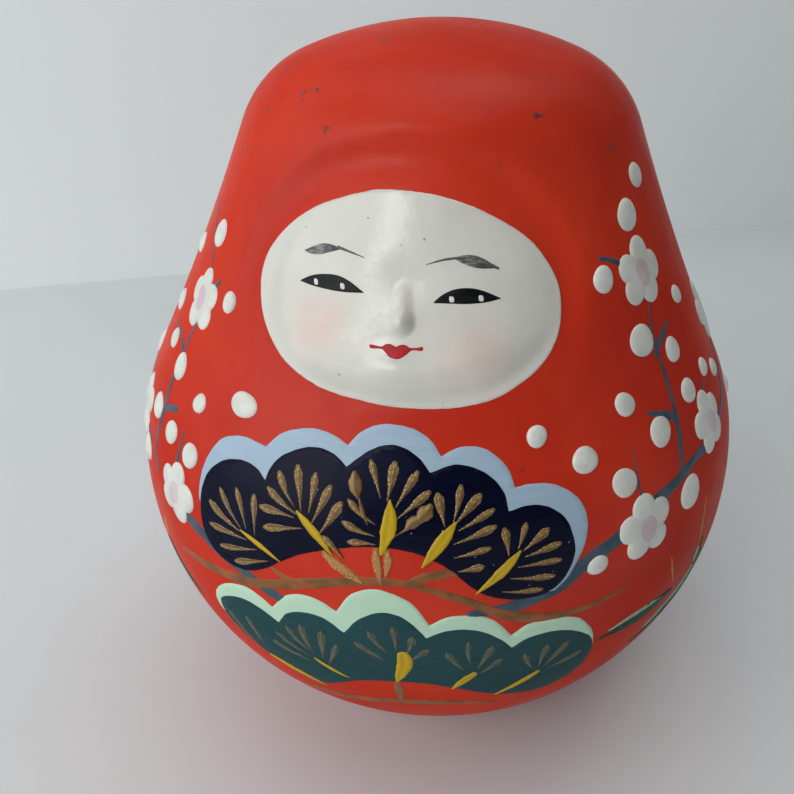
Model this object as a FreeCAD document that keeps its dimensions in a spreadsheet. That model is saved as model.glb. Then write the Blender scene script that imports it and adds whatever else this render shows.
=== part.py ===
"""Roly-poly princess daruma: a papier-mache doll that rights itself, in millimetres.

The doll rests on the origin with +Z up and faces -Y. Its outside is one turned form: a belly
sphere, a shoulder arc, a nearly straight flank, a temple arc and a flat crown. Every layer of the
doll is that form again, sunk by a depth: the chalk and vermilion coat lies on a seam strip, the
strip lies on two paper half shells, and a clay weight sits in the bottom under a sheet of paper.
A soft valley under the hood runs over and beside the face. Plum buds and blossoms are raised
blobs of chalk paste.
"""

import FreeCAD, Part

import math
import os

import Sketcher
from FreeCAD import Placement, Rotation, Vector

DIMENSIONS = [
    ("height", 182.0, "crown above the table, six sun"),
    ("belly_radius", 78.0, "sphere of the belly and the rocking base"),
    ("belly_centre_height", 77.5, "under the radius, so the base has a small flat"),
    ("shoulder_radius", 63.0, "arc from the belly to the flank"),
    ("shoulder_centre_height", 79.0, ""),
    ("flank_radius", 700.0, "hollow, nearly straight side of the head"),
    ("temple_radius", 27.0, "arc from the flank to the crown"),
    ("temple_centre_out", 21.0, "from the axis to the temple arc's centre"),
    ("crown_radius", 83.0, "flat dome on top"),
    ("coat_thickness", 0.7, "chalk ground with its colour coat"),
    ("strip_thickness", 0.3, "washi strip under the coat"),
    ("strip_width", 18.0, "over the joint of the half shells"),
    ("paper_thickness", 2.6, "moulded paper wall"),
    ("weight_top_height", 26.0, "clay weight, from the table"),
    ("cover_thickness", 0.6, "paper sheet over the clay weight"),
    ("cover_lap_height", 12.0, "how far that sheet climbs the wall"),
    ("face_height", 137.5, "middle of the face, from the table"),
    ("face_half_width", 30.4, "white oval, straight across"),
    ("face_half_rise", 20.5, "white oval, along the flank"),
    ("face_tilt", 25.5, "degrees that the face looks up"),
    ("valley_radius", 32.5, "middle of the round valley under the hood, along the surface"),
    ("valley_drop", 8.0, "middle of that round under the middle of the face"),
    ("valley_tool_radius", 9.0, "round section of the valley"),
    ("valley_depth", 0.5, "at the temples: deeper above, and it dies out beside the chin"),
    ("valley_depth_swing", 1.0, "added at the top of the round and taken off at its bottom"),
    ("nose_half_width", 2.5, ""),
    ("nose_half_rise", 4.8, ""),
    ("nose_stand", 1.6, "tip of the nose above the face"),
    ("nose_drop", 2.5, "middle of the nose under the middle of the face"),
    ("bud_stand", 0.9, "crown of a bud above the coat"),
    ("petal_radius", 3.3, ""),
    ("petal_ring_radius", 4.1, "blossom's centre to its petals' centres"),
    ("petal_stand", 0.9, "crown of a petal above the coat"),
]

# Azimuth in degrees from the front, towards the doll's left hand, then height and radius in mm.
RIGHT_HAND_BUDS = [
    (-51.4, 140.9, 3.0),
    (-38.5, 130.1, 2.2),
    (-64.9, 121.8, 2.6),
    (-57.8, 115.5, 2.3),
    (-49.5, 112.7, 3.0),
    (-53.3, 101.7, 2.9),
    (-38.5, 109.6, 2.2),
    (-27.3, 113.6, 3.1),
    (-44.9, 100.1, 2.7),
    (-37.4, 98.9, 2.8),
    (-56.5, 88.9, 3.2),
    (-66.0, 135.0, 2.4),
    (-72.0, 108.0, 2.8),
    (-79.0, 98.0, 2.4),
    (-84.0, 112.0, 2.2),
    (-68.0, 80.0, 2.6),
]
LEFT_HAND_BUDS = [
    (63.5, 154.2, 2.6),
    (54.8, 147.9, 3.2),
    (42.8, 138.0, 2.6),
    (67.6, 129.2, 2.1),
    (50.1, 125.1, 3.4),
    (59.0, 120.6, 2.7),
    (69.3, 112.8, 2.1),
    (75.3, 109.8, 2.2),
    (60.2, 111.7, 2.8),
    (42.2, 115.3, 2.5),
    (48.9, 108.1, 3.1),
    (32.3, 107.9, 2.9),
    (39.0, 101.7, 3.1),
    (54.3, 92.6, 3.6),
    (33.4, 86.2, 2.5),
    (24.5, 113.4, 2.1),
    (84.0, 101.0, 2.4),
]
# Azimuth, height, then degrees that the blossom's first petal is turned from straight up.
RIGHT_HAND_BLOSSOMS = [
    (-49.9, 127.3, 8.0),
    (-62.5, 96.5, 20.0),
    (-40.8, 88.2, -14.0),
    (-86.0, 122.0, 0.0),
]
LEFT_HAND_BLOSSOMS = [
    (54.7, 136.8, -8.0),
    (64.5, 103.1, 10.0),
    (43.0, 90.6, 14.0),
    (86.0, 119.0, 12.0),
]

LAYERS = {
    "outer_form": "0",
    "strip_form": "dims.coat_thickness - dims.strip_thickness",
    "paper_form": "dims.coat_thickness",
    "cavity_form": "dims.coat_thickness + dims.paper_thickness",
    "cover_form": "dims.coat_thickness + dims.paper_thickness + dims.cover_thickness",
}
PETALS = 5
VALLEY_STATIONS = 16
NODES = [
    "vermilion_coat",
    "face_coat",
    "seam_strip",
    "front_shell",
    "back_shell",
    "clay_weight",
    "weight_cover_paper",
    "plum_buds_right_hand",
    "plum_buds_left_hand",
    "plum_blossoms_right_hand",
    "plum_blossoms_left_hand",
]

doc = FreeCAD.newDocument("daruma")
sheet = doc.addObject("Spreadsheet::Sheet", "dims")
for row, (alias, value, note) in enumerate(DIMENSIONS, start=1):
    sheet.set(f"A{row}", alias)
    sheet.set(f"B{row}", str(value))
    sheet.setAlias(f"B{row}", alias)
    sheet.set(f"C{row}", note)
doc.recompute()


def size(alias):
    """A driving dimension, read from the sheet."""
    return float(sheet.get(alias))


def angle_of(point, centre):
    return math.atan2(point.y - centre.y, point.x - centre.x)


def towards(start, end, distance):
    """The point at a distance from start on the line through end."""
    return start + (end - start).normalize() * distance


def outline(depth):
    """The half section at a depth under the surface, as arcs in order from the base to the crown.

    x is the distance from the axis and y the height. Each arc is (centre, radius, lower end,
    upper end). Depth leaves every centre in place and changes only the radii.
    """
    belly_r = size("belly_radius")
    shoulder_r = size("shoulder_radius")
    flank_r = size("flank_radius")
    temple_r = size("temple_radius")
    crown_r = size("crown_radius")
    belly = Vector(0, size("belly_centre_height"), 0)
    crown = Vector(0, size("height") - crown_r, 0)
    shoulder_rise = size("shoulder_centre_height") - belly.y
    shoulder_out = math.sqrt((belly_r - shoulder_r) ** 2 - shoulder_rise**2)
    shoulder = Vector(shoulder_out, belly.y + shoulder_rise, 0)
    temple_out = size("temple_centre_out")
    temple_rise = math.sqrt((crown_r - temple_r) ** 2 - temple_out**2)
    temple = Vector(temple_out, crown.y + temple_rise, 0)

    # The flank's centre is out to the right, at both radii's sums from its neighbours' centres.
    between = temple - shoulder
    reach = shoulder_r + flank_r
    far = temple_r + flank_r
    along = (reach**2 - far**2 + between.Length**2) / (2 * between.Length)
    out = math.sqrt(reach**2 - along**2)
    way = Vector(between).normalize()
    flank = shoulder + way * along + Vector(way.y, -way.x, 0) * out

    foot_drop = belly.y - depth
    foot = Vector(math.sqrt((belly_r - depth) ** 2 - foot_drop**2), depth, 0)
    ends = [
        foot,
        towards(belly, shoulder, belly_r - depth),
        towards(shoulder, flank, shoulder_r - depth),
        towards(temple, flank, temple_r - depth),
        towards(crown, temple, crown_r - depth),
        Vector(0, size("height") - depth, 0),
    ]
    centres = [belly, shoulder, flank, temple, crown]
    radii = [
        belly_r - depth,
        shoulder_r - depth,
        flank_r + depth,
        temple_r - depth,
        crown_r - depth,
    ]
    return list(zip(centres, radii, ends[:-1], ends[1:]))


def radius_at(height):
    """The outside radius at a height."""
    for centre, radius, low, high in outline(0.0):
        if low.y <= height <= high.y:
            side = math.sqrt(radius**2 - (height - centre.y) ** 2)
            return centre.x + side if low.x > centre.x else centre.x - side
    raise ValueError(f"{height} mm is outside the doll")


def slope_at(height):
    """How fast the outside radius grows with height."""
    step = 0.05
    return (radius_at(height + step) - radius_at(height - step)) / (2 * step)


def surface_point(azimuth, height):
    """A point of the outside and its outward normal. Azimuth is in radians from the front."""
    radius = radius_at(height)
    sideways = Vector(math.sin(azimuth), -math.cos(azimuth), 0)
    normal = Vector(sideways.x, sideways.y, -slope_at(height)).normalize()
    return sideways * radius + Vector(0, 0, height), normal


def layer(name, depth_rule):
    """A PartDesign body that turns the half section at a depth round the Z axis."""
    body = doc.addObject("PartDesign::Body", name)
    sketch = body.newObject("Sketcher::SketchObject", f"{name}_section")
    front_plane = next(f for f in body.Origin.OriginFeatures if f.Role == "XZ_Plane")
    sketch.AttachmentSupport = [(front_plane, "")]
    sketch.MapMode = "FlatFace"

    depth = doc.dims.evalExpression(depth_rule)
    depth = float(getattr(depth, "Value", depth))
    arcs = outline(depth)
    for centre, radius, low, high in arcs:
        first, last = angle_of(low, centre), angle_of(high, centre)
        if low.x < centre.x and high.x < centre.x:
            first, last = last % math.tau, first % math.tau
        circle = Part.Circle(centre, Vector(0, 0, 1), radius)
        sketch.addGeometry(Part.ArcOfCircle(circle, first, last))
    belly, shoulder, flank, temple, crown = range(5)
    foot, top = arcs[0][2], arcs[-1][3]
    base_line = sketch.addGeometry(Part.LineSegment(Vector(0, foot.y, 0), foot))
    axis_line = sketch.addGeometry(Part.LineSegment(top, Vector(0, foot.y, 0)))

    start, end, middle = 1, 2, 3
    origin, vertical = -1, -2

    def fix(kind, *arguments):
        return sketch.addConstraint(Sketcher.Constraint(kind, *arguments))

    def drive(kind, arguments, value, rule, label):
        index = fix(kind, *arguments, value)
        sketch.renameConstraint(index, label)
        sketch.setExpression(f"Constraints.{label}", rule)

    fix("PointOnObject", belly, middle, vertical)
    fix("PointOnObject", crown, middle, vertical)
    fix("PointOnObject", crown, end, vertical)
    fix("PointOnObject", base_line, start, vertical)
    fix("Horizontal", base_line)
    fix("Coincident", base_line, end, belly, start)
    fix("Coincident", axis_line, start, crown, end)
    fix("Coincident", axis_line, end, base_line, start)
    fix("Tangent", belly, end, shoulder, start)
    fix("Tangent", shoulder, end, flank, end)
    fix("Tangent", flank, start, temple, start)
    fix("Tangent", temple, end, crown, start)

    signs = {"belly": "-", "shoulder": "-", "flank": "+", "temple": "-", "crown": "-"}
    for index, (part, sign) in enumerate(signs.items()):
        rule = f"dims.{part}_radius {sign} ({depth_rule})"
        drive("Radius", (index,), arcs[index][1], rule, f"{part}_radius")

    def height_of(point, value, rule, label):
        drive("DistanceY", (origin, 1, *point), value, rule, label)

    belly_rule = "dims.belly_centre_height"
    height_of((belly, middle), arcs[belly][0].y, belly_rule, "belly_height")
    foot_drop = arcs[belly][0].y - foot.y
    foot_rule = f"dims.belly_centre_height - ({depth_rule})"
    foot_points = (base_line, start, belly, middle)
    drive("DistanceY", foot_points, foot_drop, foot_rule, "foot_drop")
    shoulder_rule = "dims.shoulder_centre_height"
    height_of((shoulder, middle), arcs[shoulder][0].y, shoulder_rule, "shoulder_height")
    crown_rule = "dims.height - dims.crown_radius"
    height_of((crown, middle), arcs[crown][0].y, crown_rule, "crown_height")
    temple_out = arcs[temple][0].x
    temple_points = (origin, 1, temple, middle)
    drive("DistanceX", temple_points, temple_out, "dims.temple_centre_out", "temple_out")

    turned = body.newObject("PartDesign::Revolution", f"{name}_turned")
    turned.Profile = sketch
    turned.ReferenceAxis = (sketch, ["V_Axis"])
    turned.Angle = 360
    return body


def boolean(kind, name, base, tool):
    """A Part boolean of two objects. Faces stay as they meet, without being merged."""
    made = doc.addObject(f"Part::{kind}", name)
    made.Base, made.Tool = base, tool
    made.Refine = False
    return made


def cut(name, base, tool):
    return boolean("Cut", name, base, tool)


def common(name, base, tool):
    return boolean("Common", name, base, tool)


def fuse(name, base, tool):
    return boolean("Fuse", name, base, tool)


def slab(name, width, length, height, corner):
    """A box whose three sizes and lowest corner are rules over the sheet's cells."""
    made = doc.addObject("Part::Box", name)
    made.setExpression("Width", width)
    made.setExpression("Length", length)
    made.setExpression("Height", height)
    for axis, rule in zip("xyz", corner):
        made.setExpression(f"Placement.Base.{axis}", rule)
    return made


def shape_object(name, shape):
    made = doc.addObject("Part::Feature", name)
    made.Shape = shape
    return made


def face_frame():
    """The middle of the face on the outside, with the way it looks and its upward direction."""
    point, _ = surface_point(0.0, size("face_height"))
    tilt = math.radians(size("face_tilt"))
    looks = Vector(0, -math.cos(tilt), math.sin(tilt))
    up = Vector(0, math.sin(tilt), math.cos(tilt))
    return point, looks, up


def valley_ring(name, growth):
    """A closed round tube along the valley, made thicker for the layers under the surface.

    The tube runs just outside the doll and dips into it by the valley's depth, most above the
    forehead. Under the cheeks the depth turns negative and the tube stands clear of the doll.
    """
    tool_r = size("valley_tool_radius")
    tilt = math.radians(size("face_tilt"))
    points = []
    for index in range(VALLEY_STATIONS):
        turn = math.tau * index / VALLEY_STATIONS
        rise = size("valley_radius") * math.sin(turn) - size("valley_drop")
        height = size("face_height") + rise * math.cos(tilt)
        azimuth = size("valley_radius") * math.cos(turn) / radius_at(height)
        point, normal = surface_point(azimuth, height)
        depth = size("valley_depth") + size("valley_depth_swing") * math.sin(turn)
        points.append(point + normal * (tool_r - depth))
    sections = []
    for index, point in enumerate(points):
        along = points[(index + 1) % VALLEY_STATIONS] - points[index - 1]
        sections.append(Part.Wire(Part.Circle(point, along, tool_r + growth).toShape()))
    return shape_object(name, Part.makeLoft(sections, True, False, True))


def cap(point, normal, radius, stand):
    """A ball whose part above the surface is a cap of that radius and height."""
    ball_r = (radius**2 + stand**2) / (2 * stand)
    return Part.makeSphere(ball_r, point - normal * (ball_r - stand))


def standing_on(name, balls, body):
    """The parts of some balls that stand above a body, as one compound of separate solids."""
    lumps = []
    for ball in balls:
        lumps.extend(ball.cut(body.Shape).Solids)
    return shape_object(name, Part.makeCompound(lumps))


def bud_balls(buds):
    balls = []
    for azimuth, height, radius in buds:
        point, normal = surface_point(math.radians(azimuth), height)
        balls.append(cap(point, normal, radius, size("bud_stand")))
    return balls


def blossom_balls(places):
    """Each blossom as one fused shape of five petals round its centre."""
    blossoms = []
    for azimuth, height, turned in places:
        centre, normal = surface_point(math.radians(azimuth), height)
        up = Vector(0, 0, 1) - normal * normal.z
        up.normalize()
        petals = []
        for index in range(PETALS):
            turn = math.degrees(math.tau * index / PETALS) + turned
            way = Rotation(normal, turn).multVec(up)
            spot = centre + way * size("petal_ring_radius")
            azimuth_there = math.atan2(spot.x, -spot.y)
            point, petal_normal = surface_point(azimuth_there, spot.z)
            stand = size("petal_stand")
            petals.append(cap(point, petal_normal, size("petal_radius"), stand))
        blossoms.append(petals[0].multiFuse(petals[1:]).removeSplitter())
    return blossoms


def grooved(name, form, growth):
    """A layer's form with the valley round the face taken out of it."""
    return cut(name, form, valley_ring(f"{name}_valley", growth))


forms = {name: layer(name, rule) for name, rule in LAYERS.items()}
doc.recompute()

coat_thickness = size("coat_thickness")
wall_depth = coat_thickness + size("paper_thickness")
outer = grooved("outer_grooved", forms["outer_form"], 0.0)
paper = grooved("paper_grooved", forms["paper_form"], coat_thickness)
cavity = grooved("cavity_grooved", forms["cavity_form"], wall_depth)

# Paper half shells: the joint runs over the crown and down both sides, in the XZ plane.
front_space = slab(
    "front_space",
    "2 * dims.belly_radius",
    "4 * dims.belly_radius",
    "2 * dims.height",
    ("-2 * dims.belly_radius", "-2 * dims.belly_radius", "-dims.height / 2"),
)
paper_wall = cut("paper_wall", paper, cavity)
common("front_shell", paper_wall, front_space)
cut("back_shell", paper_wall, front_space)

# Seam strip: lies on the paper all the way round the joint.
strip_space = slab(
    "strip_space",
    "dims.strip_width",
    "4 * dims.belly_radius",
    "2 * dims.height",
    ("-2 * dims.belly_radius", "-dims.strip_width / 2", "-dims.height / 2"),
)
strip_layer = cut("strip_layer", forms["strip_form"], paper)
common("seam_strip", strip_layer, strip_space)

# Coat: the chalk ground with its colour, over the paper and the strip. The face is its white part.
face_point, face_looks, face_up = face_frame()
face_across = face_up.cross(face_looks)
oval = doc.addObject("Part::Ellipse", "face_oval")
oval.setExpression("MajorRadius", "dims.face_half_width")
oval.setExpression("MinorRadius", "dims.face_half_rise")
face_turn = Rotation(face_across, face_up, face_looks, "ZXY")
oval.Placement = Placement(face_point, face_turn)
face_space = doc.addObject("Part::Extrusion", "face_space")
face_space.Base = oval
face_space.Dir = face_looks
face_space.DirMode = "Custom"
face_space.setExpression("LengthFwd", "dims.belly_radius / 4")
face_space.setExpression("LengthRev", "dims.belly_radius / 4")
face_space.Solid = True

nose = doc.addObject("Part::Ellipsoid", "nose")
nose.setExpression("Radius1", "dims.nose_stand + dims.coat_thickness")
nose.setExpression("Radius2", "dims.nose_half_width")
nose.setExpression("Radius3", "dims.nose_half_rise")
nose_middle = face_point - face_up * size("nose_drop")
nose.Placement = Placement(nose_middle - face_looks * coat_thickness, face_turn)

coat_all = cut("coat_all", cut("coat_over_paper", outer, paper), doc.seam_strip)
cut("vermilion_coat", coat_all, face_space)
face_skin = common("face_skin", coat_all, face_space)
nose_above = cut("nose_above", nose, paper)
fuse("face_coat", face_skin, nose_above)

# Weight: clay pressed into the bottom, held down by a sheet of paper that climbs the wall.
low_space = slab(
    "low_space",
    "4 * dims.belly_radius",
    "4 * dims.belly_radius",
    "dims.weight_top_height",
    ("-2 * dims.belly_radius", "-2 * dims.belly_radius", "0"),
)
common("clay_weight", cavity, low_space)
sheet_space = slab(
    "sheet_space",
    "4 * dims.belly_radius",
    "4 * dims.belly_radius",
    "dims.cover_thickness",
    ("-2 * dims.belly_radius", "-2 * dims.belly_radius", "dims.weight_top_height"),
)
lap_space = slab(
    "lap_space",
    "4 * dims.belly_radius",
    "4 * dims.belly_radius",
    "dims.cover_lap_height",
    ("-2 * dims.belly_radius", "-2 * dims.belly_radius", "dims.weight_top_height"),
)
cover_sheet = common("cover_sheet", forms["cavity_form"], sheet_space)
cover_wall = cut("cover_wall", forms["cavity_form"], forms["cover_form"])
cover_lap = common("cover_lap", cover_wall, lap_space)
fuse("weight_cover_paper", cover_sheet, cover_lap)
doc.recompute()

# Raised chalk paste: every blob is the part of a ball that stands above the coat.
standing_on("plum_buds_right_hand", bud_balls(RIGHT_HAND_BUDS), outer)
standing_on("plum_buds_left_hand", bud_balls(LEFT_HAND_BUDS), outer)
standing_on("plum_blossoms_right_hand", blossom_balls(RIGHT_HAND_BLOSSOMS), outer)
standing_on("plum_blossoms_left_hand", blossom_balls(LEFT_HAND_BLOSSOMS), outer)
doc.recompute()

failed = [o.Name for o in doc.Objects if {"Invalid", "Error"} & set(o.State)]
if failed:
    raise SystemExit(f"these objects failed: {failed}")
os.makedirs("parts", exist_ok=True)
for node in NODES:
    part = doc.getObject(node)
    part.Label = node
    shape = part.Shape
    if shape.isNull() or not shape.isValid() or not shape.Solids:
        raise SystemExit(f"{node} has no valid solid")
    shape.exportStep(f"parts/{node}.step")
    print(f"{node}: {len(shape.Solids)} solids, {shape.Volume / 1000:.1f} cm3")
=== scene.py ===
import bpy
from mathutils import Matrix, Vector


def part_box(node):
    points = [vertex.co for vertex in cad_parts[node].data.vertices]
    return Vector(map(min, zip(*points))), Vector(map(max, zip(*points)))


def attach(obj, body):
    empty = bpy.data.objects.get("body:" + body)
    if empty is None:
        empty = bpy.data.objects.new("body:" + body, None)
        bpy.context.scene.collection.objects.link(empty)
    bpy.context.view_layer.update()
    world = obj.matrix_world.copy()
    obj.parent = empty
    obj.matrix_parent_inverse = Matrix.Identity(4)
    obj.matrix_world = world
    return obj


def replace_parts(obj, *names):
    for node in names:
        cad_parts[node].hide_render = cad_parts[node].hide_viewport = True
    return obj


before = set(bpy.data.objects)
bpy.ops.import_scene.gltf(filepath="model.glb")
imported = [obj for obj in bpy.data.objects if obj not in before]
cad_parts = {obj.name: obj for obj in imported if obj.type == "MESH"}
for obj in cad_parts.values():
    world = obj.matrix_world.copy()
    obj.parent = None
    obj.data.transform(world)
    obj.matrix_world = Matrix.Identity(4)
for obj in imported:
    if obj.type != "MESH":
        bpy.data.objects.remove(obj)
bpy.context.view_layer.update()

import math
import random

import bpy
import numpy as np
from mathutils import Matrix, Vector
from mathutils.geometry import delaunay_2d_cdt

# The looks of a papier-mache princess daruma. Lengths are in millimetres until a mesh is made.
# Azimuth runs from the front towards the doll's left hand. "Along" is the length of the half
# section from the edge of the foot up to the crown, so (azimuth, along) is a place on the doll.

MM = 0.001
RNG = random.Random(7)

# The CAD's turned form: five arcs from the foot to the crown.
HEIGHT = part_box("vermilion_coat")[1].z / MM
BELLY_RADIUS = 78.0
BELLY_CENTRE_HEIGHT = 77.5
SHOULDER_RADIUS = 63.0
SHOULDER_CENTRE_HEIGHT = 79.0
FLANK_RADIUS = 700.0
TEMPLE_RADIUS = 27.0
TEMPLE_CENTRE_OUT = 21.0
CROWN_RADIUS = 83.0
FACE_HEIGHT = 137.5
COAT = 0.6

CHART_RADIUS = 75.0  # one radian of azimuth is this wide in the flat chart that films are cut in


# ---- the form

def half_section():
    """Radius and height of the outside, from the edge of the foot to the crown, every 0.2 mm."""
    belly = np.array([0.0, BELLY_CENTRE_HEIGHT])
    crown = np.array([0.0, HEIGHT - CROWN_RADIUS])
    rise = SHOULDER_CENTRE_HEIGHT - BELLY_CENTRE_HEIGHT
    out = math.sqrt((BELLY_RADIUS - SHOULDER_RADIUS) ** 2 - rise**2)
    shoulder = np.array([out, SHOULDER_CENTRE_HEIGHT])
    temple_rise = math.sqrt((CROWN_RADIUS - TEMPLE_RADIUS) ** 2 - TEMPLE_CENTRE_OUT**2)
    temple = crown + [TEMPLE_CENTRE_OUT, temple_rise]
    between = temple - shoulder
    gap = np.linalg.norm(between)
    reach = SHOULDER_RADIUS + FLANK_RADIUS
    far = TEMPLE_RADIUS + FLANK_RADIUS
    share = (reach**2 - far**2 + gap**2) / (2 * gap)
    way = between / gap
    flank = shoulder + way * share + np.array([way[1], -way[0]]) * math.sqrt(reach**2 - share**2)

    def towards(start, end, distance):
        return start + (end - start) / np.linalg.norm(end - start) * distance

    foot = np.array([math.sqrt(BELLY_RADIUS**2 - BELLY_CENTRE_HEIGHT**2), 0.0])
    ends = [
        foot,
        towards(belly, shoulder, BELLY_RADIUS),
        towards(shoulder, flank, SHOULDER_RADIUS),
        towards(temple, flank, TEMPLE_RADIUS),
        towards(crown, temple, CROWN_RADIUS),
        np.array([0.0, HEIGHT]),
    ]
    points = [foot]
    for centre, low, high in zip((belly, shoulder, flank, temple, crown), ends, ends[1:]):
        a, b = low - centre, high - centre
        turn = math.atan2(a[0] * b[1] - a[1] * b[0], a @ b)
        steps = max(2, round(abs(turn) * np.linalg.norm(a) / 0.2))
        for step in range(1, steps + 1):
            c, s = math.cos(turn * step / steps), math.sin(turn * step / steps)
            points.append(centre + [a[0] * c - a[1] * s, a[0] * s + a[1] * c])
    return np.array(points)


SECTION = half_section()
ALONG = np.concatenate([[0.0], np.cumsum(np.linalg.norm(np.diff(SECTION, axis=0), axis=1))])
SLOPE = np.gradient(SECTION, ALONG, axis=0)
LENGTH = ALONG[-1]


def along_at(height):
    return np.interp(height, SECTION[:, 1], ALONG)


def radius_along(along):
    return np.interp(along, ALONG, SECTION[:, 0])


FACE_ALONG = along_at(FACE_HEIGHT)


def smooth(value, low, high):
    """0 below low, 1 above high, with an even curve between."""
    t = np.clip((value - low) / (high - low), 0.0, 1.0)
    return t * t * (3 - 2 * t)


def swelling(u, v, at, spread, height):
    return height * np.exp(-(((u - at[0]) / spread[0]) ** 2) - ((v - at[1]) / spread[1]) ** 2)


def face_place(azimuth, along):
    """Millimetres across and up the flank, counted from the middle of the face."""
    azimuth = (azimuth + math.pi) % math.tau - math.pi
    return azimuth * radius_along(along), along - FACE_ALONG


HOOD_DROP = 8.0  # the middle of the hood's round is this far under the middle of the face
HOOD_DIP = 33.8  # radius of the hollow that runs round the face
HOOD_BRIM = 39.5  # radius of the hood's soft brim
FACE_REACH = 64.0  # the relief of the face and hood ends this far from the face's middle
FACE_FADE = 24.0  # and fades out over this width
FACE_HALF_WIDTH = 32.0
FACE_HALF_DROP = 18.6
FACE_SQUARENESS = 2.4  # 2 is an ellipse, more is squarer

# Soft swellings of the face, each (middle, spread, height): the cheeks, the brows, the chin and
# the lips, and the dip between the brows.
SWELLINGS = [
    ((-15.0, -10.6), (8.0, 6.5), 0.7), ((17.0, -11.0), (8.0, 6.5), 0.85),
    ((-13.0, 4.0), (7.0, 5.0), 0.3), ((14.5, 3.0), (7.0, 5.0), 0.3),
    ((0.9, -14.8), (6.5, 3.4), 0.5), ((0.9, -10.4), (3.4, 1.8), 0.25),
    ((1.2, 3.0), (5.0, 4.0), -0.35),
]


def hood_relief(u, v):
    """The face leans back a little, so the hood's brim steps out over and beside it."""
    up = v + HOOD_DROP
    q = np.hypot(u, up)
    lift = up / np.maximum(q, 1e-6)
    over = smooth(lift, -0.5, 0.2)
    lean = 0.8 - 0.045 * up
    wide = np.abs(u / FACE_HALF_WIDTH) ** FACE_SQUARENESS
    low = np.abs(np.minimum(v + 1.0, 0.0) / FACE_HALF_DROP) ** FACE_SQUARENESS
    side = (wide + low) ** (1 / FACE_SQUARENESS)
    mound = lean * (1 - smooth(side, 0.66, 1.04)) * (1 - smooth(q, 34.0, 40.0))
    dip = (0.3 + 0.55 * lift) * np.exp(-(((q - HOOD_DIP) / 3.8) ** 2)) * over
    fall = np.where(q < HOOD_BRIM, 3.4, 22.0)
    brim = (0.6 + 0.2 * lift) * np.exp(-(((q - HOOD_BRIM) / fall) ** 2)) * over
    rim = 0.45 * np.exp(-(((side - 0.98) / 0.08) ** 2)) * smooth(-v, 4.0, 13.0)
    return mound - dip + brim - rim


def face_relief(u, v):
    """The swellings of the face, and its nose."""
    rise = sum(swelling(u, v, *row) for row in SWELLINGS)
    # the nose: a narrow ridge that rises downwards to a round tip
    run = np.clip((3.5 - v) / 8.0, 0.0, 1.0)
    ridge = 1 - smooth(np.abs(u - 1.2) / (1.3 + 0.6 * run), 0.0, 1.4)
    ridge = 1.25 * run**1.2 * ridge * smooth(v, -7.0, -4.6)
    away = np.hypot(u - 1.5, (v + 4.5) / 1.15) / 2.3
    return rise + ridge + 1.15 * np.clip(1 - away**2, 0.0, 1.0) ** 0.9


def hand_relief(azimuth, along):
    """The slow unevenness of a form moulded and sanded by hand."""
    a = 0.16 * np.sin(3 * azimuth + 0.9) * np.sin(along / 31.0 + 1.2)
    b = 0.10 * np.sin(7 * azimuth - 0.4 + along / 40.0) * np.sin(along / 17.0)
    return (a + b) * smooth(along, 25.0, 70.0) * (1 - smooth(along, LENGTH - 55.0, LENGTH - 15.0))


def relief(azimuth, along):
    u, v = face_place(azimuth, along)
    near = smooth(FACE_REACH - np.hypot(u, v), 0.0, FACE_FADE)
    return near * (hood_relief(u, v) + face_relief(u, v)) + hand_relief(azimuth, along)


def surface(azimuth, along, lift):
    """Points on the doll, in metres: arrays of azimuth in radians, along and lift in mm."""
    r, z, dr, dz = (np.interp(along, ALONG, row) for row in (*SECTION.T, *SLOPE.T))
    size = np.hypot(dr, dz)
    out = relief(azimuth, along) + lift
    r = r + dz / size * out
    z = z - dr / size * out
    return np.stack([r * np.sin(azimuth), -r * np.cos(azimuth), z], -1) * MM


# ---- charts and outlines

def on_body(points):
    """Chart points from (azimuth in degrees, height)."""
    p = np.array(points, float)
    return np.stack([np.radians(p[:, 0]) * CHART_RADIUS, along_at(p[:, 1])], -1)


def on_face(points):
    """Chart points from (mm across, mm up the flank), counted from the middle of the face."""
    p = np.array(points, float)
    along = FACE_ALONG + p[:, 1]
    return np.stack([p[:, 0] / radius_along(along) * CHART_RADIUS, along], -1)


def curve(points, step=0.5, closed=False):
    """A smooth path through the points, sampled about every step mm."""
    p = np.array(points, float)
    n = len(p)
    if closed:
        ring = np.vstack([p[-1:], p, p[:2]])
        spans = n
    else:
        ring = np.vstack([2 * p[0] - p[1], p, 2 * p[-1] - p[-2]])
        spans = n - 1
    out = []
    for i in range(spans):
        a, b, c, d = ring[i:i + 4]
        count = max(2, int(np.linalg.norm(c - b) / step))
        for k in range(count):
            t = k / count
            out.append(0.5 * (2 * b + (c - a) * t + (2 * a - 5 * b + 4 * c - d) * t**2
                              + (3 * b - a - 3 * c + d) * t**3))
    if not closed:
        out.append(p[-1])
    return np.array(out)


def outline(runs, place, step=0.5):
    """A closed outline of smooth runs that meet in corners. Each run starts where one ended."""
    out = []
    for i, run in enumerate(runs):
        end = runs[(i + 1) % len(runs)][0]
        out.append(curve(place(list(run) + [end]), step)[:-1])
    return np.vstack(out)


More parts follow.
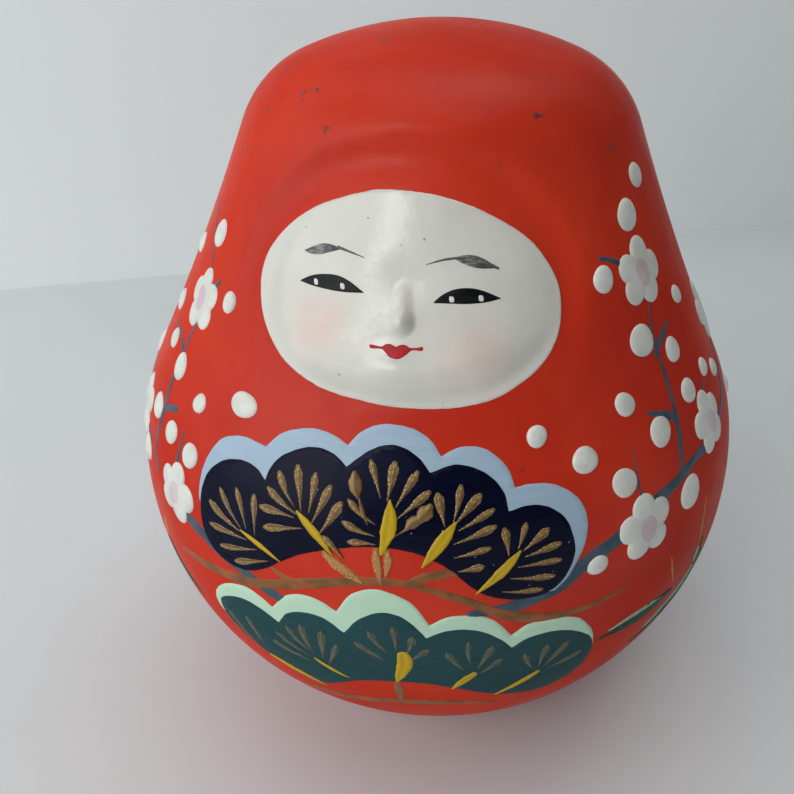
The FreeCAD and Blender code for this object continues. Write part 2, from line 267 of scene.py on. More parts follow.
def distance_to(points, path, closed=True):
    """For each point: distance to the path, the place along it (0..1) and the signed side."""
    a = path
    b = np.roll(path, -1, axis=0)
    if not closed:
        a, b = path[:-1], path[1:]
    seg = b - a
    lengths = np.maximum(np.linalg.norm(seg, axis=1), 1e-9)
    rel = points[:, None, :] - a[None]
    t = np.clip((rel * seg[None]).sum(-1) / lengths**2, 0, 1)
    gap = rel - t[..., None] * seg[None]
    d = np.linalg.norm(gap, axis=-1)
    best = d.argmin(1)
    rows = np.arange(len(points))
    starts = np.concatenate([[0.0], np.cumsum(lengths)[:-1]])
    place = (starts[best] + t[rows, best] * lengths[best]) / lengths.sum()
    side = np.sign(seg[best, 0] * gap[rows, best, 1] - seg[best, 1] * gap[rows, best, 0])
    return d[rows, best], place, side


def inside(points, loop):
    """Which points lie inside a closed loop."""
    x, y = points[:, 0][:, None], points[:, 1][:, None]
    ax, ay = loop[:, 0], loop[:, 1]
    bx, by = np.roll(ax, -1), np.roll(ay, -1)
    crosses = (ay > y) != (by > y)
    dy = np.where(by == ay, 1e-12, by - ay)
    at = ax + (y - ay) / dy * (bx - ax)
    return (crosses & (x < at)).sum(1) % 2 == 1


def well_inside(points, loop, margin):
    """The points that lie inside a closed loop and more than margin from it."""
    points = points[inside(points, loop)]
    return points[distance_to(points, loop)[0] > margin]


def unit(rows):
    """Each row scaled to a length of 1."""
    return rows / np.maximum(np.linalg.norm(rows, axis=1, keepdims=True), 1e-9)


def sideways(loop):
    """A unit step square to a closed loop, at each of its points."""
    way = np.roll(loop, -1, axis=0) - np.roll(loop, 1, axis=0)
    return unit(np.stack([way[:, 1], -way[:, 0]], -1))


def wobbled(loop, amount, wave=6.0):
    """A loop with the small unsteadiness of a hand-held brush."""
    steps = np.linalg.norm(np.roll(loop, -1, axis=0) - loop, axis=1)
    place = np.cumsum(steps) / steps.sum() * math.tau
    shift = np.zeros(len(loop))
    top = max(3, int(steps.sum() / wave))
    for harmonic in (top // 2 + 1, top, top * 2 + 1):
        shift += np.sin(place * harmonic + RNG.random() * math.tau) / 2
    return loop + sideways(loop) * (shift * amount)[:, None]


# ---- meshes

def placed(name, data):
    """A new object in the scene that holds a mesh, a light or a camera."""
    made = bpy.data.objects.new(name, data)
    bpy.context.scene.collection.objects.link(made)
    return made


def mesh_object(name, vertices, faces, material, uv=None):
    mesh = bpy.data.meshes.new(name)
    mesh.from_pydata([tuple(v) for v in vertices], [], faces)
    mesh.materials.append(material)
    if uv is not None:
        layer = mesh.uv_layers.new(name="brush")
        corners = np.empty(len(mesh.loops), int)
        mesh.loops.foreach_get("vertex_index", corners)
        layer.data.foreach_set("uv", np.asarray(uv, np.float32)[corners].ravel())
    mesh.shade_smooth()
    mesh.set_sharp_from_angle(angle=math.radians(55))
    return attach(placed(name, mesh), "root")


FILM_UNDERSIDE = -0.1  # a film's back lies this far inside the skin
FILM_SINK = 0.02  # a film's edge starts this far inside the paint it lies on
UV_PER_MM = 0.01


def film_points(loop, spacing, rim):
    """The points of a film's mesh: its outline, a ring just inside it, and a grid over the rest."""
    low, high = loop.min(0), loop.max(0)
    xs = np.arange(low[0], high[0], spacing)
    ys = np.arange(low[1], high[1], spacing * 0.87)
    grid = np.array([(x + (j % 2) * spacing / 2, y) for j, y in enumerate(ys) for x in xs])
    x, y = loop[:, 0], loop[:, 1]
    turn = np.sign((x * np.roll(y, -1) - np.roll(x, -1) * y).sum())
    ring = loop - sideways(loop) * rim * turn
    ring = well_inside(ring, loop, rim * 0.7)
    return np.vstack([loop, ring, well_inside(grid, loop, spacing * 0.55)])


def triangulated(points, count):
    """The flat mesh inside the outline that the first count points make.

    Gives its points, its triangles, and which of the points are on its edge.
    """
    found = delaunay_2d_cdt([Vector(p) for p in points], [], [list(range(count))], 1, 1e-5)
    used, triangles = np.unique(np.array([list(t) for t in found[2]]), return_inverse=True)
    triangles = triangles.reshape(-1, 3)
    flat = np.array([tuple(p) for p in found[0]])[used]
    edges = {(t[i - 1], t[i]) for t in triangles.tolist() for i in range(3)}
    border = [i for a, b in edges if (b, a) not in edges for i in (a, b)]
    is_border = np.zeros(len(flat), bool)
    is_border[border] = True
    return flat, triangles, is_border


class Films:
    """Thin closed sheets of paint laid on the doll, which become one piece."""

    def __init__(self):
        self.vertices, self.faces, self.uv, self.count = [], [], [], 0

    def add(self, loop, lift, spacing, rim, bed=0.0, dome=0.0, brush=None):
        """One sheet inside a chart loop, on paint whose top is at bed.

        brush is the sheet's centre line, for streaks along the stroke.
        """
        flat, triangles, is_border = triangulated(film_points(loop, spacing, rim), len(loop))
        d = distance_to(flat, loop)[0]
        d[is_border] = 0.0
        foot = bed - FILM_SINK
        height = foot + (lift - foot) * smooth(d, 0.0, rim)
        if dome:
            height = height + dome * np.sqrt(1 - (1 - np.clip(d / d.max(), 0, 1)) ** 2)
        azimuth = flat[:, 0] / CHART_RADIUS
        top = surface(azimuth, flat[:, 1], height)
        bottom = surface(azimuth, flat[:, 1], np.full(len(flat), FILM_UNDERSIDE))
        self.vertices += [top, bottom[~is_border]]
        uv = flat * UV_PER_MM
        if brush is not None:
            away, place, side = distance_to(flat, brush, closed=False)
            reach = np.linalg.norm(np.diff(brush, axis=0), axis=1).sum()
            uv = np.stack([place * reach, away * side], -1) * UV_PER_MM
        self.uv += [uv, uv[~is_border]]
        under = np.arange(len(flat))
        under[~is_border] = len(flat) + np.arange((~is_border).sum())
        back = under[triangles[:, ::-1]]
        for pair in zip((triangles + self.count).tolist(), (back + self.count).tolist()):
            self.faces += pair
        self.count += len(flat) + (~is_border).sum()

    def piece(self, name, material):
        made = mesh_object(
            name, np.vstack(self.vertices), self.faces, material, np.vstack(self.uv)
        )
        return made


def stroke_loop(centre, widths, wobble=0.06, step=0.45):
    """A brush stroke's outline round a chart centre line, with half widths given along it."""
    line = curve(centre, step)
    t = np.linspace(0, 1, len(line))
    half = np.interp(t, np.linspace(0, 1, len(widths)), widths)
    scale = CHART_RADIUS / radius_along(line[:, 1])
    real = np.stack([line[:, 0] / scale, line[:, 1]], -1)
    way = unit(np.gradient(real, axis=0))
    normal = np.stack([-way[:, 1], way[:, 0]], -1)
    phase = RNG.random() * math.tau
    shake = 1 + wobble * np.sin(t * 19 + phase) + wobble * np.sin(t * 43 + 2 * phase)
    offset = normal * (half * shake)[:, None]
    offset[:, 0] *= scale
    left, right = line + offset, line - offset

    def cap(at, direction, radius):
        """Half a round at an end, where the stroke isn't a point there."""
        if radius < 0.18:
            return np.zeros((0, 2))
        n = np.array([-direction[1], direction[0]])
        s = CHART_RADIUS / radius_along(at[1])
        turns = np.linspace(0, math.pi, max(4, int(radius / 0.25)) + 2)[1:-1]
        arc = [n * math.cos(a) * radius + direction * math.sin(a) * radius * 0.8 for a in turns]
        return at + np.array(arc) * [s, 1.0]

    tip = cap(line[-1], way[-1], half[-1])
    tail = cap(line[0], -way[0], half[0])
    loop = np.vstack([left, tip, right[::-1], tail])
    steps = np.linalg.norm(loop - np.roll(loop, 1, axis=0), axis=1)
    return loop[steps > 0.05], line


def strokes(films, items, lift, spacing, rim=0.2, bed=0.0, dome=0.0, wobble=0.06, step=0.45):
    """Brush strokes on the body, each (points of its centre line, half widths along it)."""
    for points, widths in items:
        loop, line = stroke_loop(on_body(points), widths, wobble, step)
        films.add(loop, lift, spacing, rim, bed, dome, line)


def stroke_piece(name, items, material, slot, lift, spacing, **shape):
    films = Films()
    strokes(films, items, lift, spacing, **shape)
    films.piece(name, material)


# ---- materials

def paint(red, green, blue):
    """A scene-linear colour from 0-255 display values."""
    def linear(c):
        c /= 255
        return c / 12.92 if c <= 0.04045 else ((c + 0.055) / 1.055) ** 2.4
    return (linear(red), linear(green), linear(blue), 1.0)


class Look:
    """A procedural material, built one node at a time."""

    def __init__(self, name, source="object"):
        self.material = bpy.data.materials.new(name)
        self.material.use_nodes = True
        self.tree = self.material.node_tree
        self.shader = self.tree.nodes["Principled BSDF"]
        self.place = self.node("ShaderNodeTexCoord", {}, "Object")
        self.source = self.place
        if source == "brush":
            self.source = self.node("ShaderNodeUVMap", {}, "UV", uv_map="brush")

    def put(self, socket, value):
        if isinstance(value, bpy.types.NodeSocket):
            self.tree.links.new(value, socket)
        else:
            socket.default_value = value

    def node(self, kind, inputs, output, **settings):
        """Add a node, set or link its inputs, and give one of its outputs."""
        made = self.tree.nodes.new(kind)
        for key, value in settings.items():
            setattr(made, key, value)
        for key, value in inputs.items():
            self.put(made.inputs[key], value)
        return made.outputs[output]

    def noise(self, scale, detail=3.0, rough=0.55, stretch=(1, 1, 1), shift=0.0):
        place = {"Vector": self.source, "Scale": stretch, "Location": (shift, shift * 0.7, shift * 0.3)}
        grain = {"Scale": scale, "Detail": detail, "Roughness": rough}
        grain["Vector"] = self.node("ShaderNodeMapping", place, "Vector")
        return self.node("ShaderNodeTexNoise", grain, "Fac")

    def cells(self, scale, feature="F1"):
        """The distance from the cells' middles, or from their edges."""
        inputs = {"Vector": self.source, "Scale": scale}
        return self.node("ShaderNodeTexVoronoi", inputs, "Distance", feature=feature)

    def span(self, value, low, high, to_low=0.0, to_high=1.0):
        """to_low where value is low or less, to_high where it is high or more, smooth between."""
        inputs = {
            "Value": value, "From Min": low, "From Max": high, "To Min": to_low, "To Max": to_high
        }
        return self.node("ShaderNodeMapRange", inputs, "Result", interpolation_type="SMOOTHSTEP")

    def maths(self, operation, a, b):
        return self.node("ShaderNodeMath", {0: a, 1: b}, 0, operation=operation)

    def mix(self, share, a, b):
        return self.node("ShaderNodeMix", {0: share, 6: a, 7: b}, 2, data_type="RGBA")

    def dots(self, scale, low, high, patches, patch_low, patch_high):
        """Small round dots, 1 up to low from their middles and 0 past high, in some patches only."""
        dot = self.span(self.cells(scale), low, high, 1.0, 0.0)
        return self.maths("MULTIPLY", dot, self.span(patches, patch_low, patch_high))

    def near(self, point, low, high):
        """1 within low metres of a point, 0 past high."""
        inputs = {0: self.place, 1: point}
        away = self.node("ShaderNodeVectorMath", inputs, "Value", operation="DISTANCE")
        return self.span(away, low, high, 1.0, 0.0)

    def matte_edge(self, level):
        """Less reflection where the surface turns away, as rough chalk colour shows."""
        facing = self.node("ShaderNodeLayerWeight", {"Blend": 0.5}, "Facing")
        return self.span(facing, 0.25, 0.65, level, level * 0.1)

    def bumps(self, *layers):
        """Bump layers, each (height, strength, distance in metres)."""
        under = {}
        for height, strength, distance in layers:
            inputs = {"Height": height, "Strength": strength, "Distance": distance, **under}
            under = {"Normal": self.node("ShaderNodeBump", inputs, "Normal")}
        self.put(self.shader.inputs["Normal"], under["Normal"])
        self.put(self.shader.inputs["Coat Normal"], under["Normal"])

    def finish(self, colour, roughness, metallic=0.0, coat=0.0, coat_roughness=0.2, gloss=0.5):
        for name, value in (
            ("Base Color", colour), ("Specular IOR Level", gloss), ("Roughness", roughness),
            ("Metallic", metallic), ("Coat Weight", coat), ("Coat Roughness", coat_roughness),
        ):
            self.put(self.shader.inputs[name], value)
        return self.material


VERMILION = paint(208, 56, 31)
VERMILION_DEEP = paint(192, 43, 24)
VERMILION_PALE = paint(216, 74, 48)


def vermilion_look():
    """Satin vermilion over chalk: faint clouds and streaks, pinholes and a slight orange peel."""
    look = Look("vermilion")
    clouds = look.noise(22.0, 4.0)
    colour = look.mix(look.span(clouds, 0.35, 0.68), VERMILION_DEEP, VERMILION)
    thin = look.noise(70.0, 5.0, 0.6, shift=3.0)
    colour = look.mix(look.span(thin, 0.58, 0.78, 0.0, 0.35), colour, VERMILION_PALE)
    streaks = look.noise(60.0, 4.0, 0.6, (1, 1, 7), 5.0)
    colour = look.mix(look.span(streaks, 0.55, 0.8, 0.0, 0.22), colour, VERMILION_DEEP)
    pit = look.dots(260.0, 0.035, 0.075, look.noise(31.0, 2.0, shift=9.0), 0.52, 0.66)
    colour = look.mix(look.maths("MULTIPLY", pit, 0.75), colour, paint(92, 26, 18))
    peel = look.noise(900.0, 2.0, 0.5)
    swell = look.noise(120.0, 3.0, 0.5, shift=2.0)
    look.bumps((swell, 0.35, 0.0006), (peel, 0.12, 0.0001), (streaks, 0.15, 0.0003))
    roughness = look.span(look.noise(55.0, 4.0, shift=7.0), 0.3, 0.7, 0.3, 0.42)
    look.shader.inputs["IOR"].default_value = 1.28
    return look.finish(colour, roughness, gloss=look.matte_edge(0.5))


def face_look(blushes):
    """Glossy chalk white, slightly warm, speckled, with two soft pink cheeks."""
    look = Look("face_white")
    tone = look.noise(45.0, 3.0)
    colour = look.mix(look.span(tone, 0.3, 0.7), paint(211, 210, 200), paint(222, 221, 213))
    for point, reach, strength in blushes:
        soft = look.maths("MULTIPLY", look.near(point, 0.0, reach), strength)
        uneven = look.maths("MULTIPLY", soft, look.span(look.noise(190.0, 3.0), 0.25, 0.75, 0.75, 1.1))
        colour = look.mix(uneven, colour, paint(226, 150, 140))
    pit = look.dots(270.0, 0.04, 0.08, look.noise(90.0, 2.0, shift=4.0), 0.54, 0.6)
    colour = look.mix(look.maths("MULTIPLY", pit, 0.7), colour, paint(92, 88, 76))
    grain = look.noise(1500.0, 2.0)
    slow = look.noise(150.0, 3.0, shift=6.0)
    brushed = look.noise(360.0, 2.0, 0.5, (1, 1, 0.5), 2.0)
    look.bumps((slow, 0.3, 0.0004), (brushed, 0.14, 0.0003), (grain, 0.14, 0.0001), (pit, -0.3, 0.0002))
    roughness = look.span(look.noise(240.0, 3.0, shift=1.0), 0.3, 0.7, 0.17, 0.27)
    return look.finish(colour, roughness, coat=0.2, coat_roughness=0.1)


def paint_look(name, body, second, streak, roughness, flecks=None, gloss=0.4, coat=0.04):
    """Brushed poster paint: two tones in streaks along the brush, with ridges to match."""
    look = Look(name, "brush")
    along = look.noise(9.0, 5.0, 0.62, (1, 9, 1))
    patches = look.noise(6.0, 3.0, 0.5, shift=4.0)
    share = look.maths("ADD", look.span(along, 0.3, 0.75), look.span(patches, 0.4, 0.8, -0.2, 0.4))
    colour = look.mix(look.maths("MULTIPLY", share, streak), body, second)
    if flecks is not None:
        dot = look.dots(34.0, 0.03, 0.06, look.noise(5.0, 2.0, shift=2.0), 0.46, 0.56)
        colour = look.mix(dot, colour, flecks)
    look.bumps((along, 0.35, 0.00025), (look.noise(30.0, 3.0), 0.2, 0.0002))
    look.shader.inputs["IOR"].default_value = 1.36
    uneven = look.span(patches, 0.3, 0.7, roughness - 0.07, roughness + 0.09)
    shine = look.matte_edge(gloss)
    return look.finish(colour, uneven, coat=coat, coat_roughness=0.15, gloss=shine)


def dry_brush_look(name, pigment, ground, cover, flecks=None, metallic=0.0):
    """A dry stroke that lets the ground show through between its hairs."""
    look = Look(name, "brush")
    hairs = look.noise(26.0, 5.0, 0.65, (1, 8, 1), RNG.random() * 9)
    blots = look.noise(20.0, 3.0, 0.5, shift=3.0)
    both = look.maths("ADD", look.maths("MULTIPLY", hairs, 0.6), look.maths("MULTIPLY", blots, 0.4))
    share = look.span(both, *cover)
    tone = look.mix(look.span(blots, 0.35, 0.65), pigment, tuple(c * 0.6 for c in pigment[:3]) + (1.0,))
    shine = metallic
    if flecks is not None:
        spark = look.span(look.noise(240.0, 3.0, 0.7, (1, 1.6, 1), 8.0), 0.54, 0.64)
        tone = look.mix(spark, tone, flecks)
        shine = look.maths("MULTIPLY", spark, metallic)
    colour = look.mix(share, ground, tone)
    look.bumps((both, 0.5, 0.0003))
    return look.finish(colour, 0.42, metallic=shine, gloss=0.25)


def chalk_look(name, light, shade, speck):
    """Raised chalk paste: off-white, a little glossy, faintly wrinkled as it dried."""
    look = Look(name)
    tone = look.noise(160.0, 3.0)
    colour = look.mix(look.span(tone, 0.35, 0.65), light, shade)
    dot = look.dots(700.0, 0.05, 0.12, look.noise(120.0, 2.0, shift=5.0), 0.56, 0.66)
    colour = look.mix(look.maths("MULTIPLY", dot, 0.5), colour, speck)
    look.bumps((look.noise(420.0, 3.0, shift=2.0), 0.3, 0.0003), (tone, 0.3, 0.0003))
    return look.finish(colour, look.span(tone, 0.3, 0.7, 0.3, 0.42), coat=0.2, coat_roughness=0.2)


def paper_look(name, light, dark):
    """Layered washi: long fibres, torn patches and paste stains."""
    look = Look(name)
    patches = look.cells(38.0)
    fibres = look.noise(260.0, 6.0, 0.7, (1, 1, 9))
    stains = look.noise(30.0, 4.0, 0.6, shift=4.0)
    dark_fibres = look.span(fibres, 0.35, 0.7, 0.0, 0.6)
    share = look.maths("ADD", dark_fibres, look.span(stains, 0.4, 0.7, 0.0, 0.5))
    colour = look.mix(share, light, dark)
    edge = look.span(patches, 0.4, 0.8, 0.0, 0.35)
    colour = look.mix(edge, colour, dark)
    look.bumps((fibres, 0.5, 0.0004), (patches, 0.4, 0.0004))
    return look.finish(colour, look.span(stains, 0.3, 0.7, 0.75, 0.92))


def clay_look():
    """Dried clay: sandy, cracked and darker where it was pressed."""
    look = Look("dried_clay")
    sand = look.noise(700.0, 4.0, 0.7)
    pressed = look.noise(40.0, 4.0)
    colour = look.mix(look.span(pressed, 0.3, 0.7), paint(150, 108, 78), paint(118, 80, 56))
    colour = look.mix(look.span(sand, 0.45, 0.75, 0.0, 0.5), colour, paint(176, 138, 104))
    crack = look.span(look.cells(60.0, "DISTANCE_TO_EDGE"), 0.0, 0.04, 1.0, 0.0)
    colour = look.mix(crack, colour, paint(70, 46, 32))
    look.bumps((sand, 0.5, 0.0004), (crack, -0.6, 0.001))
    return look.finish(colour, 0.85)


# ---- the skin

def under_face(azimuth, along):
    """1 well inside the white face, where the red skin keeps clear of the face's own skin."""
    u, v = face_place(azimuth, along)
    return 1 - smooth(np.hypot(u / 31.0, v / 19.5), 0.78, 0.92)


def shell(rows, columns, lift, inward):
    """A closed turned surface over the whole doll, pole to pole."""
    along = np.linspace(0.0, LENGTH, rows + 1)[:-1]
    azimuth = np.linspace(0, math.tau, columns, endpoint=False)
    a, s = (grid.ravel() for grid in np.meshgrid(azimuth, along))
    ring = surface(a, s, lift - 0.4 * under_face(a, s))
    foot = np.array([[0, 0, -lift * MM]])
    crown = np.array([[0, 0, (HEIGHT + lift) * MM]])
    ring[:columns, 2] = -lift * MM
    vertices = np.vstack([ring, foot, crown])
    faces = []
    low, high = rows * columns, rows * columns + 1
    for j in range(columns):
        k = (j + 1) % columns
        faces.append([low, k, j])
        faces.append([(rows - 1) * columns + j, (rows - 1) * columns + k, high])
        for i in range(rows - 1):
            row, above = i * columns, (i + 1) * columns
            faces.append([row + j, row + k, above + k, above + j])
    if inward:
        faces = [f[::-1] for f in faces]
    return vertices, faces


def make_skin(material):
    outer, outer_faces = shell(250, 400, 0.0, False)
    inner, inner_faces = shell(120, 200, -COAT, True)
    faces = outer_faces + [[i + len(outer) for i in f] for f in inner_faces]
    skin = mesh_object("vermilion_skin", np.vstack([outer, inner]), faces, material)
    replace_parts(skin, "vermilion_coat")
    return skin


# ---- the face

FACE_LIFT = 0.22
FACE_EDGE = [
    (-4.5, 20.0), (2.7, 19.8), (8.5, 18.7), (13.9, 16.8), (20.0, 13.7), (25.1, 10.2),
    (28.9, 6.0), (31.6, 1.6), (32.6, -2.9), (32.4, -7.2), (31.1, -10.7), (28.4, -13.9),
    (24.4, -16.7), (20.4, -18.7), (15.5, -19.9), (11.1, -20.4), (5.3, -20.6), (-0.1, -20.5),
    (-5.4, -20.0), (-12.1, -19.2), (-17.4, -17.8), (-22.8, -15.3), (-26.4, -12.3),
    (-29.2, -8.4), (-30.8, -3.9), (-31.3, 0.4), (-30.1, 4.6), (-27.2, 8.6), (-22.7, 12.7),
    (-17.7, 15.8), (-12.2, 18.0), (-8.2, 19.2),
]


def face_point(u, v):
    along = FACE_ALONG + v
    azimuth = u / radius_along(along)
    return tuple(surface(np.array([azimuth]), np.array([along]), FACE_LIFT)[0])


# Outlines on the face, in mm from its middle: smooth runs that meet in corners.
EYES = [
    [
        [(-20.2, 0.8), (-17.6, 2.2), (-15.0, 2.9), (-11.9, 3.1), (-9.2, 2.3)],
        [(-6.0, 0.4), (-9.7, 0.1), (-13.2, 0.1), (-17.5, 0.4)],
    ],
    [
        [(19.7, -0.1), (16.0, 1.5), (13.3, 2.1), (10.7, 1.9), (8.5, 0.9)],
        [(6.8, -0.7), (10.4, -0.8), (13.1, -0.9), (16.7, -0.7)],
    ],
]
# The small white patches on the eyes are painted highlights: white paint put where the light glints on
# the black eyes.
PAINTED_EYE_HIGHLIGHTS = [(-16.2, 1.2), (-10.5, 1.15), (10.3, 0.0), (15.7, 0.1)]
PAINTED_HIGHLIGHT_CORNERS = [(-0.5, 0.55), (-0.35, -0.45), (0.45, -0.5), (0.3, 0.45)]
BROWS = [
    [
        [(-19.9, 6.7), (-17.0, 8.2), (-14.9, 8.8), (-12.9, 8.6)],
        [(-11.3, 8.1), (-13.8, 7.2), (-15.8, 6.5), (-18.0, 6.3)],
    ],
    [
        [(10.0, 7.6), (11.7, 8.2), (14.1, 8.1), (16.5, 7.0)],
        [(18.5, 5.5), (15.2, 5.6), (13.0, 6.1), (11.1, 7.0)],
    ],
]
BROW_TAILS = [
    ([(-12.2, 8.4), (-9.3, 7.7), (-6.6, 7.0)], [0.3, 0.2, 0.07]),
    ([(10.6, 7.7), (8.0, 7.3), (5.0, 6.4)], [0.26, 0.2, 0.07]),
    ([(16.9, 6.6), (17.8, 5.9), (18.6, 5.5)], [0.1, 0.3, 0.24]),
]
LIPS = [
    [(-4.2, -9.05), (-3.0, -9.15), (-1.9, -9.25), (-1.3, -8.8), (-0.4, -8.65), (0.6, -9.05)],
    [(0.8, -9.1), (1.7, -8.65), (2.6, -8.7), (3.3, -9.1), (4.4, -9.1), (5.5, -8.85)],
    [(5.8, -9.1), (5.75, -9.55)],
    [(5.5, -9.7), (3.8, -9.65), (2.9, -10.4), (1.9, -11.2), (0.9, -11.45), (-0.4, -11.1),
     (-1.2, -10.3), (-2.0, -9.75), (-3.7, -9.85)],
    [(-4.1, -9.75), (-4.35, -9.4)],
]


def face_paint(name, loops, material, rise, spacing, rim=0.12, bed=0.0):
    """Paint on the face: its top is rise above the white, and it lies bed above the white."""
    films = Films()
    for loop in loops:
        films.add(loop, FACE_LIFT + rise, spacing, rim, FACE_LIFT + bed)
    films.piece(name, material)


def make_face_skin():
    blushes = [(face_point(-14.6, -6.6), 0.010, 0.34), (face_point(15.6, -11.0), 0.012, 0.26)]
    films = Films()
    loop = curve(on_face(FACE_EDGE), 0.45, closed=True)
    films.add(wobbled(loop, 0.03), FACE_LIFT, spacing=0.52, rim=0.3)
    face = films.piece("face_skin", face_look(blushes))
    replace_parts(face, "face_coat")


def make_eyes():
    ink = paint_look("eye_ink", paint(12, 12, 14), paint(40, 42, 44), 0.5, 0.4, gloss=0.3)
    face_paint("eyes", [outline(runs, on_face, 0.3) for runs in EYES], ink, 0.08, 0.5)
    # the white patches are painted highlights, the glint of the light on the eyes
    white = paint_look("painted_eye_highlight", paint(228, 228, 222), paint(196, 196, 190), 0.4, 0.3)
    highlights = []
    for u, v in PAINTED_EYE_HIGHLIGHTS:
        corners = [(u + across, v + up) for across, up in PAINTED_HIGHLIGHT_CORNERS]
        highlights.append(curve(on_face(corners), 0.2, closed=True))
    face_paint("eye_painted_highlights", highlights, white, 0.14, 0.3, 0.1, 0.06)


def make_brows():
    wash = dry_brush_look("brow_wash", paint(88, 92, 88), paint(180, 182, 176), (0.3, 0.54))
    face_paint("brows", [outline(runs, on_face, 0.3) for runs in BROWS], wash, 0.05, 0.5)
    grey = paint_look("brow_ink", paint(84, 88, 84), paint(120, 122, 116), 0.6, 0.4)
    tails = Films()
    for points, widths in BROW_TAILS:
        loop, line = stroke_loop(on_face(points), widths, step=0.25)
        tails.add(loop, FACE_LIFT + 0.08, 0.3, 0.08, FACE_LIFT, brush=line)
    tails.piece("brow_tails", grey)


def make_lips():
    red = paint_look("lip_red", paint(186, 30, 36), paint(150, 18, 26), 0.5, 0.35)
    face_paint("lips", [outline(LIPS, on_face, 0.25)], red, 0.1, 0.4)


# ---- pine clouds

TEAL = paint(24, 66, 70)

# How far the clouds' tops stand off the skin, what the inner clouds lie on, and how far the
# needles and leaves rise over the cloud under them.
PALE_LIFT = 0.14
NAVY_BED = 0.1
NAVY_LIFT = 0.26
MINT_LIFT = 0.2
TEAL_BED = 0.16
TEAL_LIFT = 0.3
NEEDLE_RISE = 0.07
LEAF_BED_RISE = 0.02
LEAF_RISE = 0.1

# From here on, places on the body are (azimuth in degrees, height).
NAVY_EDGE = [
    [(-19.4, 102.1), (-21.6, 103.8), (-25.0, 104.0), (-28.6, 102.3), (-31.5, 98.8),
     (-32.8, 94.0), (-32.7, 88.4), (-31.5, 83.7), (-28.6, 80.4), (-24.4, 79.6),
     (-21.0, 80.8), (-17.9, 83.3), (-15.5, 86.0), (-11.9, 89.2), (-6.4, 92.2), (-0.9, 93.7),
     (4.1, 93.5), (7.9, 91.8), (11.0, 89.1), (13.7, 85.6), (16.4, 83.3), (20.0, 82.0),
     (23.6, 82.0), (26.5, 83.5), (28.5, 87.0), (29.4, 90.8), (29.0, 94.8), (27.7, 98.6),
     (25.2, 101.0), (22.3, 101.8)],
    [(19.1, 101.1), (18.6, 104.2), (16.9, 107.1), (14.1, 109.1), (10.9, 109.7)],
    [(7.2, 108.3), (5.6, 110.6), (3.2, 112.2), (0.4, 112.6), (-2.8, 111.1)],
    [(-5.9, 108.0), (-7.8, 109.6), (-10.6, 110.4), (-13.4, 109.8), (-16.9, 107.6),
     (-18.8, 104.8)],
]
PALE_EDGE = [
    [(-20.5, 108.0), (-24.6, 108.3), (-28.0, 107.4), (-30.6, 105.5), (-32.6, 101.1),
     (-33.5, 96.5), (-33.2, 91.0)],
    [(-30.0, 90.0), (-10.0, 100.0), (14.0, 98.0), (24.0, 84.0)],
    [(26.3, 82.4), (28.4, 85.2), (30.0, 88.9), (31.2, 92.5), (31.6, 96.4), (30.9, 100.2),
     (28.8, 103.2), (25.9, 105.0), (22.8, 105.5)],
    [(20.2, 105.2), (19.7, 107.5), (18.5, 109.8), (16.3, 111.9), (13.8, 112.7), (11.3, 112.4)],
    [(8.9, 111.1), (7.2, 113.7), (4.6, 115.4), (1.1, 116.1), (-1.9, 115.6), (-4.4, 114.0)],
    [(-6.1, 111.7), (-8.7, 112.9), (-12.1, 113.4), (-15.9, 112.4), (-18.6, 110.6)],
]
TEAL_EDGE = [
    [(-17.1, 68.5), (-20.0, 70.4), (-23.8, 71.0), (-27.6, 69.0), (-30.3, 65.9), (-30.7, 62.6),
     (-29.5, 59.0), (-26.1, 55.4), (-21.1, 51.4), (-15.7, 47.8), (-11.0, 47.9), (-4.5, 53.6),
     (1.1, 55.9), (7.2, 56.2), (12.9, 53.9), (17.7, 50.8), (22.2, 48.8), (27.9, 48.1),
     (32.5, 50.5), (35.2, 55.4), (35.5, 61.5), (33.9, 66.5), (30.2, 70.2), (26.5, 71.5),
     (22.9, 70.9)],
    [(20.4, 68.6), (18.6, 71.4), (16.0, 74.0), (12.8, 75.2), (9.6, 74.6)],
    [(7.2, 72.7), (5.1, 76.4), (2.8, 78.6), (0.0, 78.7), (-3.2, 75.9)],
    [(-5.5, 71.4), (-8.7, 74.4), (-12.3, 74.4), (-15.2, 72.3)],
]
MINT_EDGE = [
    [(-17.9, 72.4), (-20.3, 74.2), (-23.4, 74.9), (-27.3, 72.9), (-30.2, 69.5), (-31.9, 65.7),
     (-31.4, 62.0)],
    [(-29.5, 60.0), (-10.0, 60.0), (10.0, 64.0), (32.0, 60.0)],
    [(35.6, 61.5), (34.9, 65.8), (33.3, 70.0), (30.8, 73.5), (27.0, 75.1), (22.8, 74.8)],
    [(20.1, 72.2), (17.2, 77.0), (13.9, 78.6), (10.3, 78.4)],
    [(7.6, 76.1), (5.1, 81.4), (1.6, 83.9), (-1.5, 84.1), (-4.4, 81.8)],
    [(-6.5, 76.9), (-9.4, 78.9), (-12.5, 79.0), (-15.3, 77.0)],
]

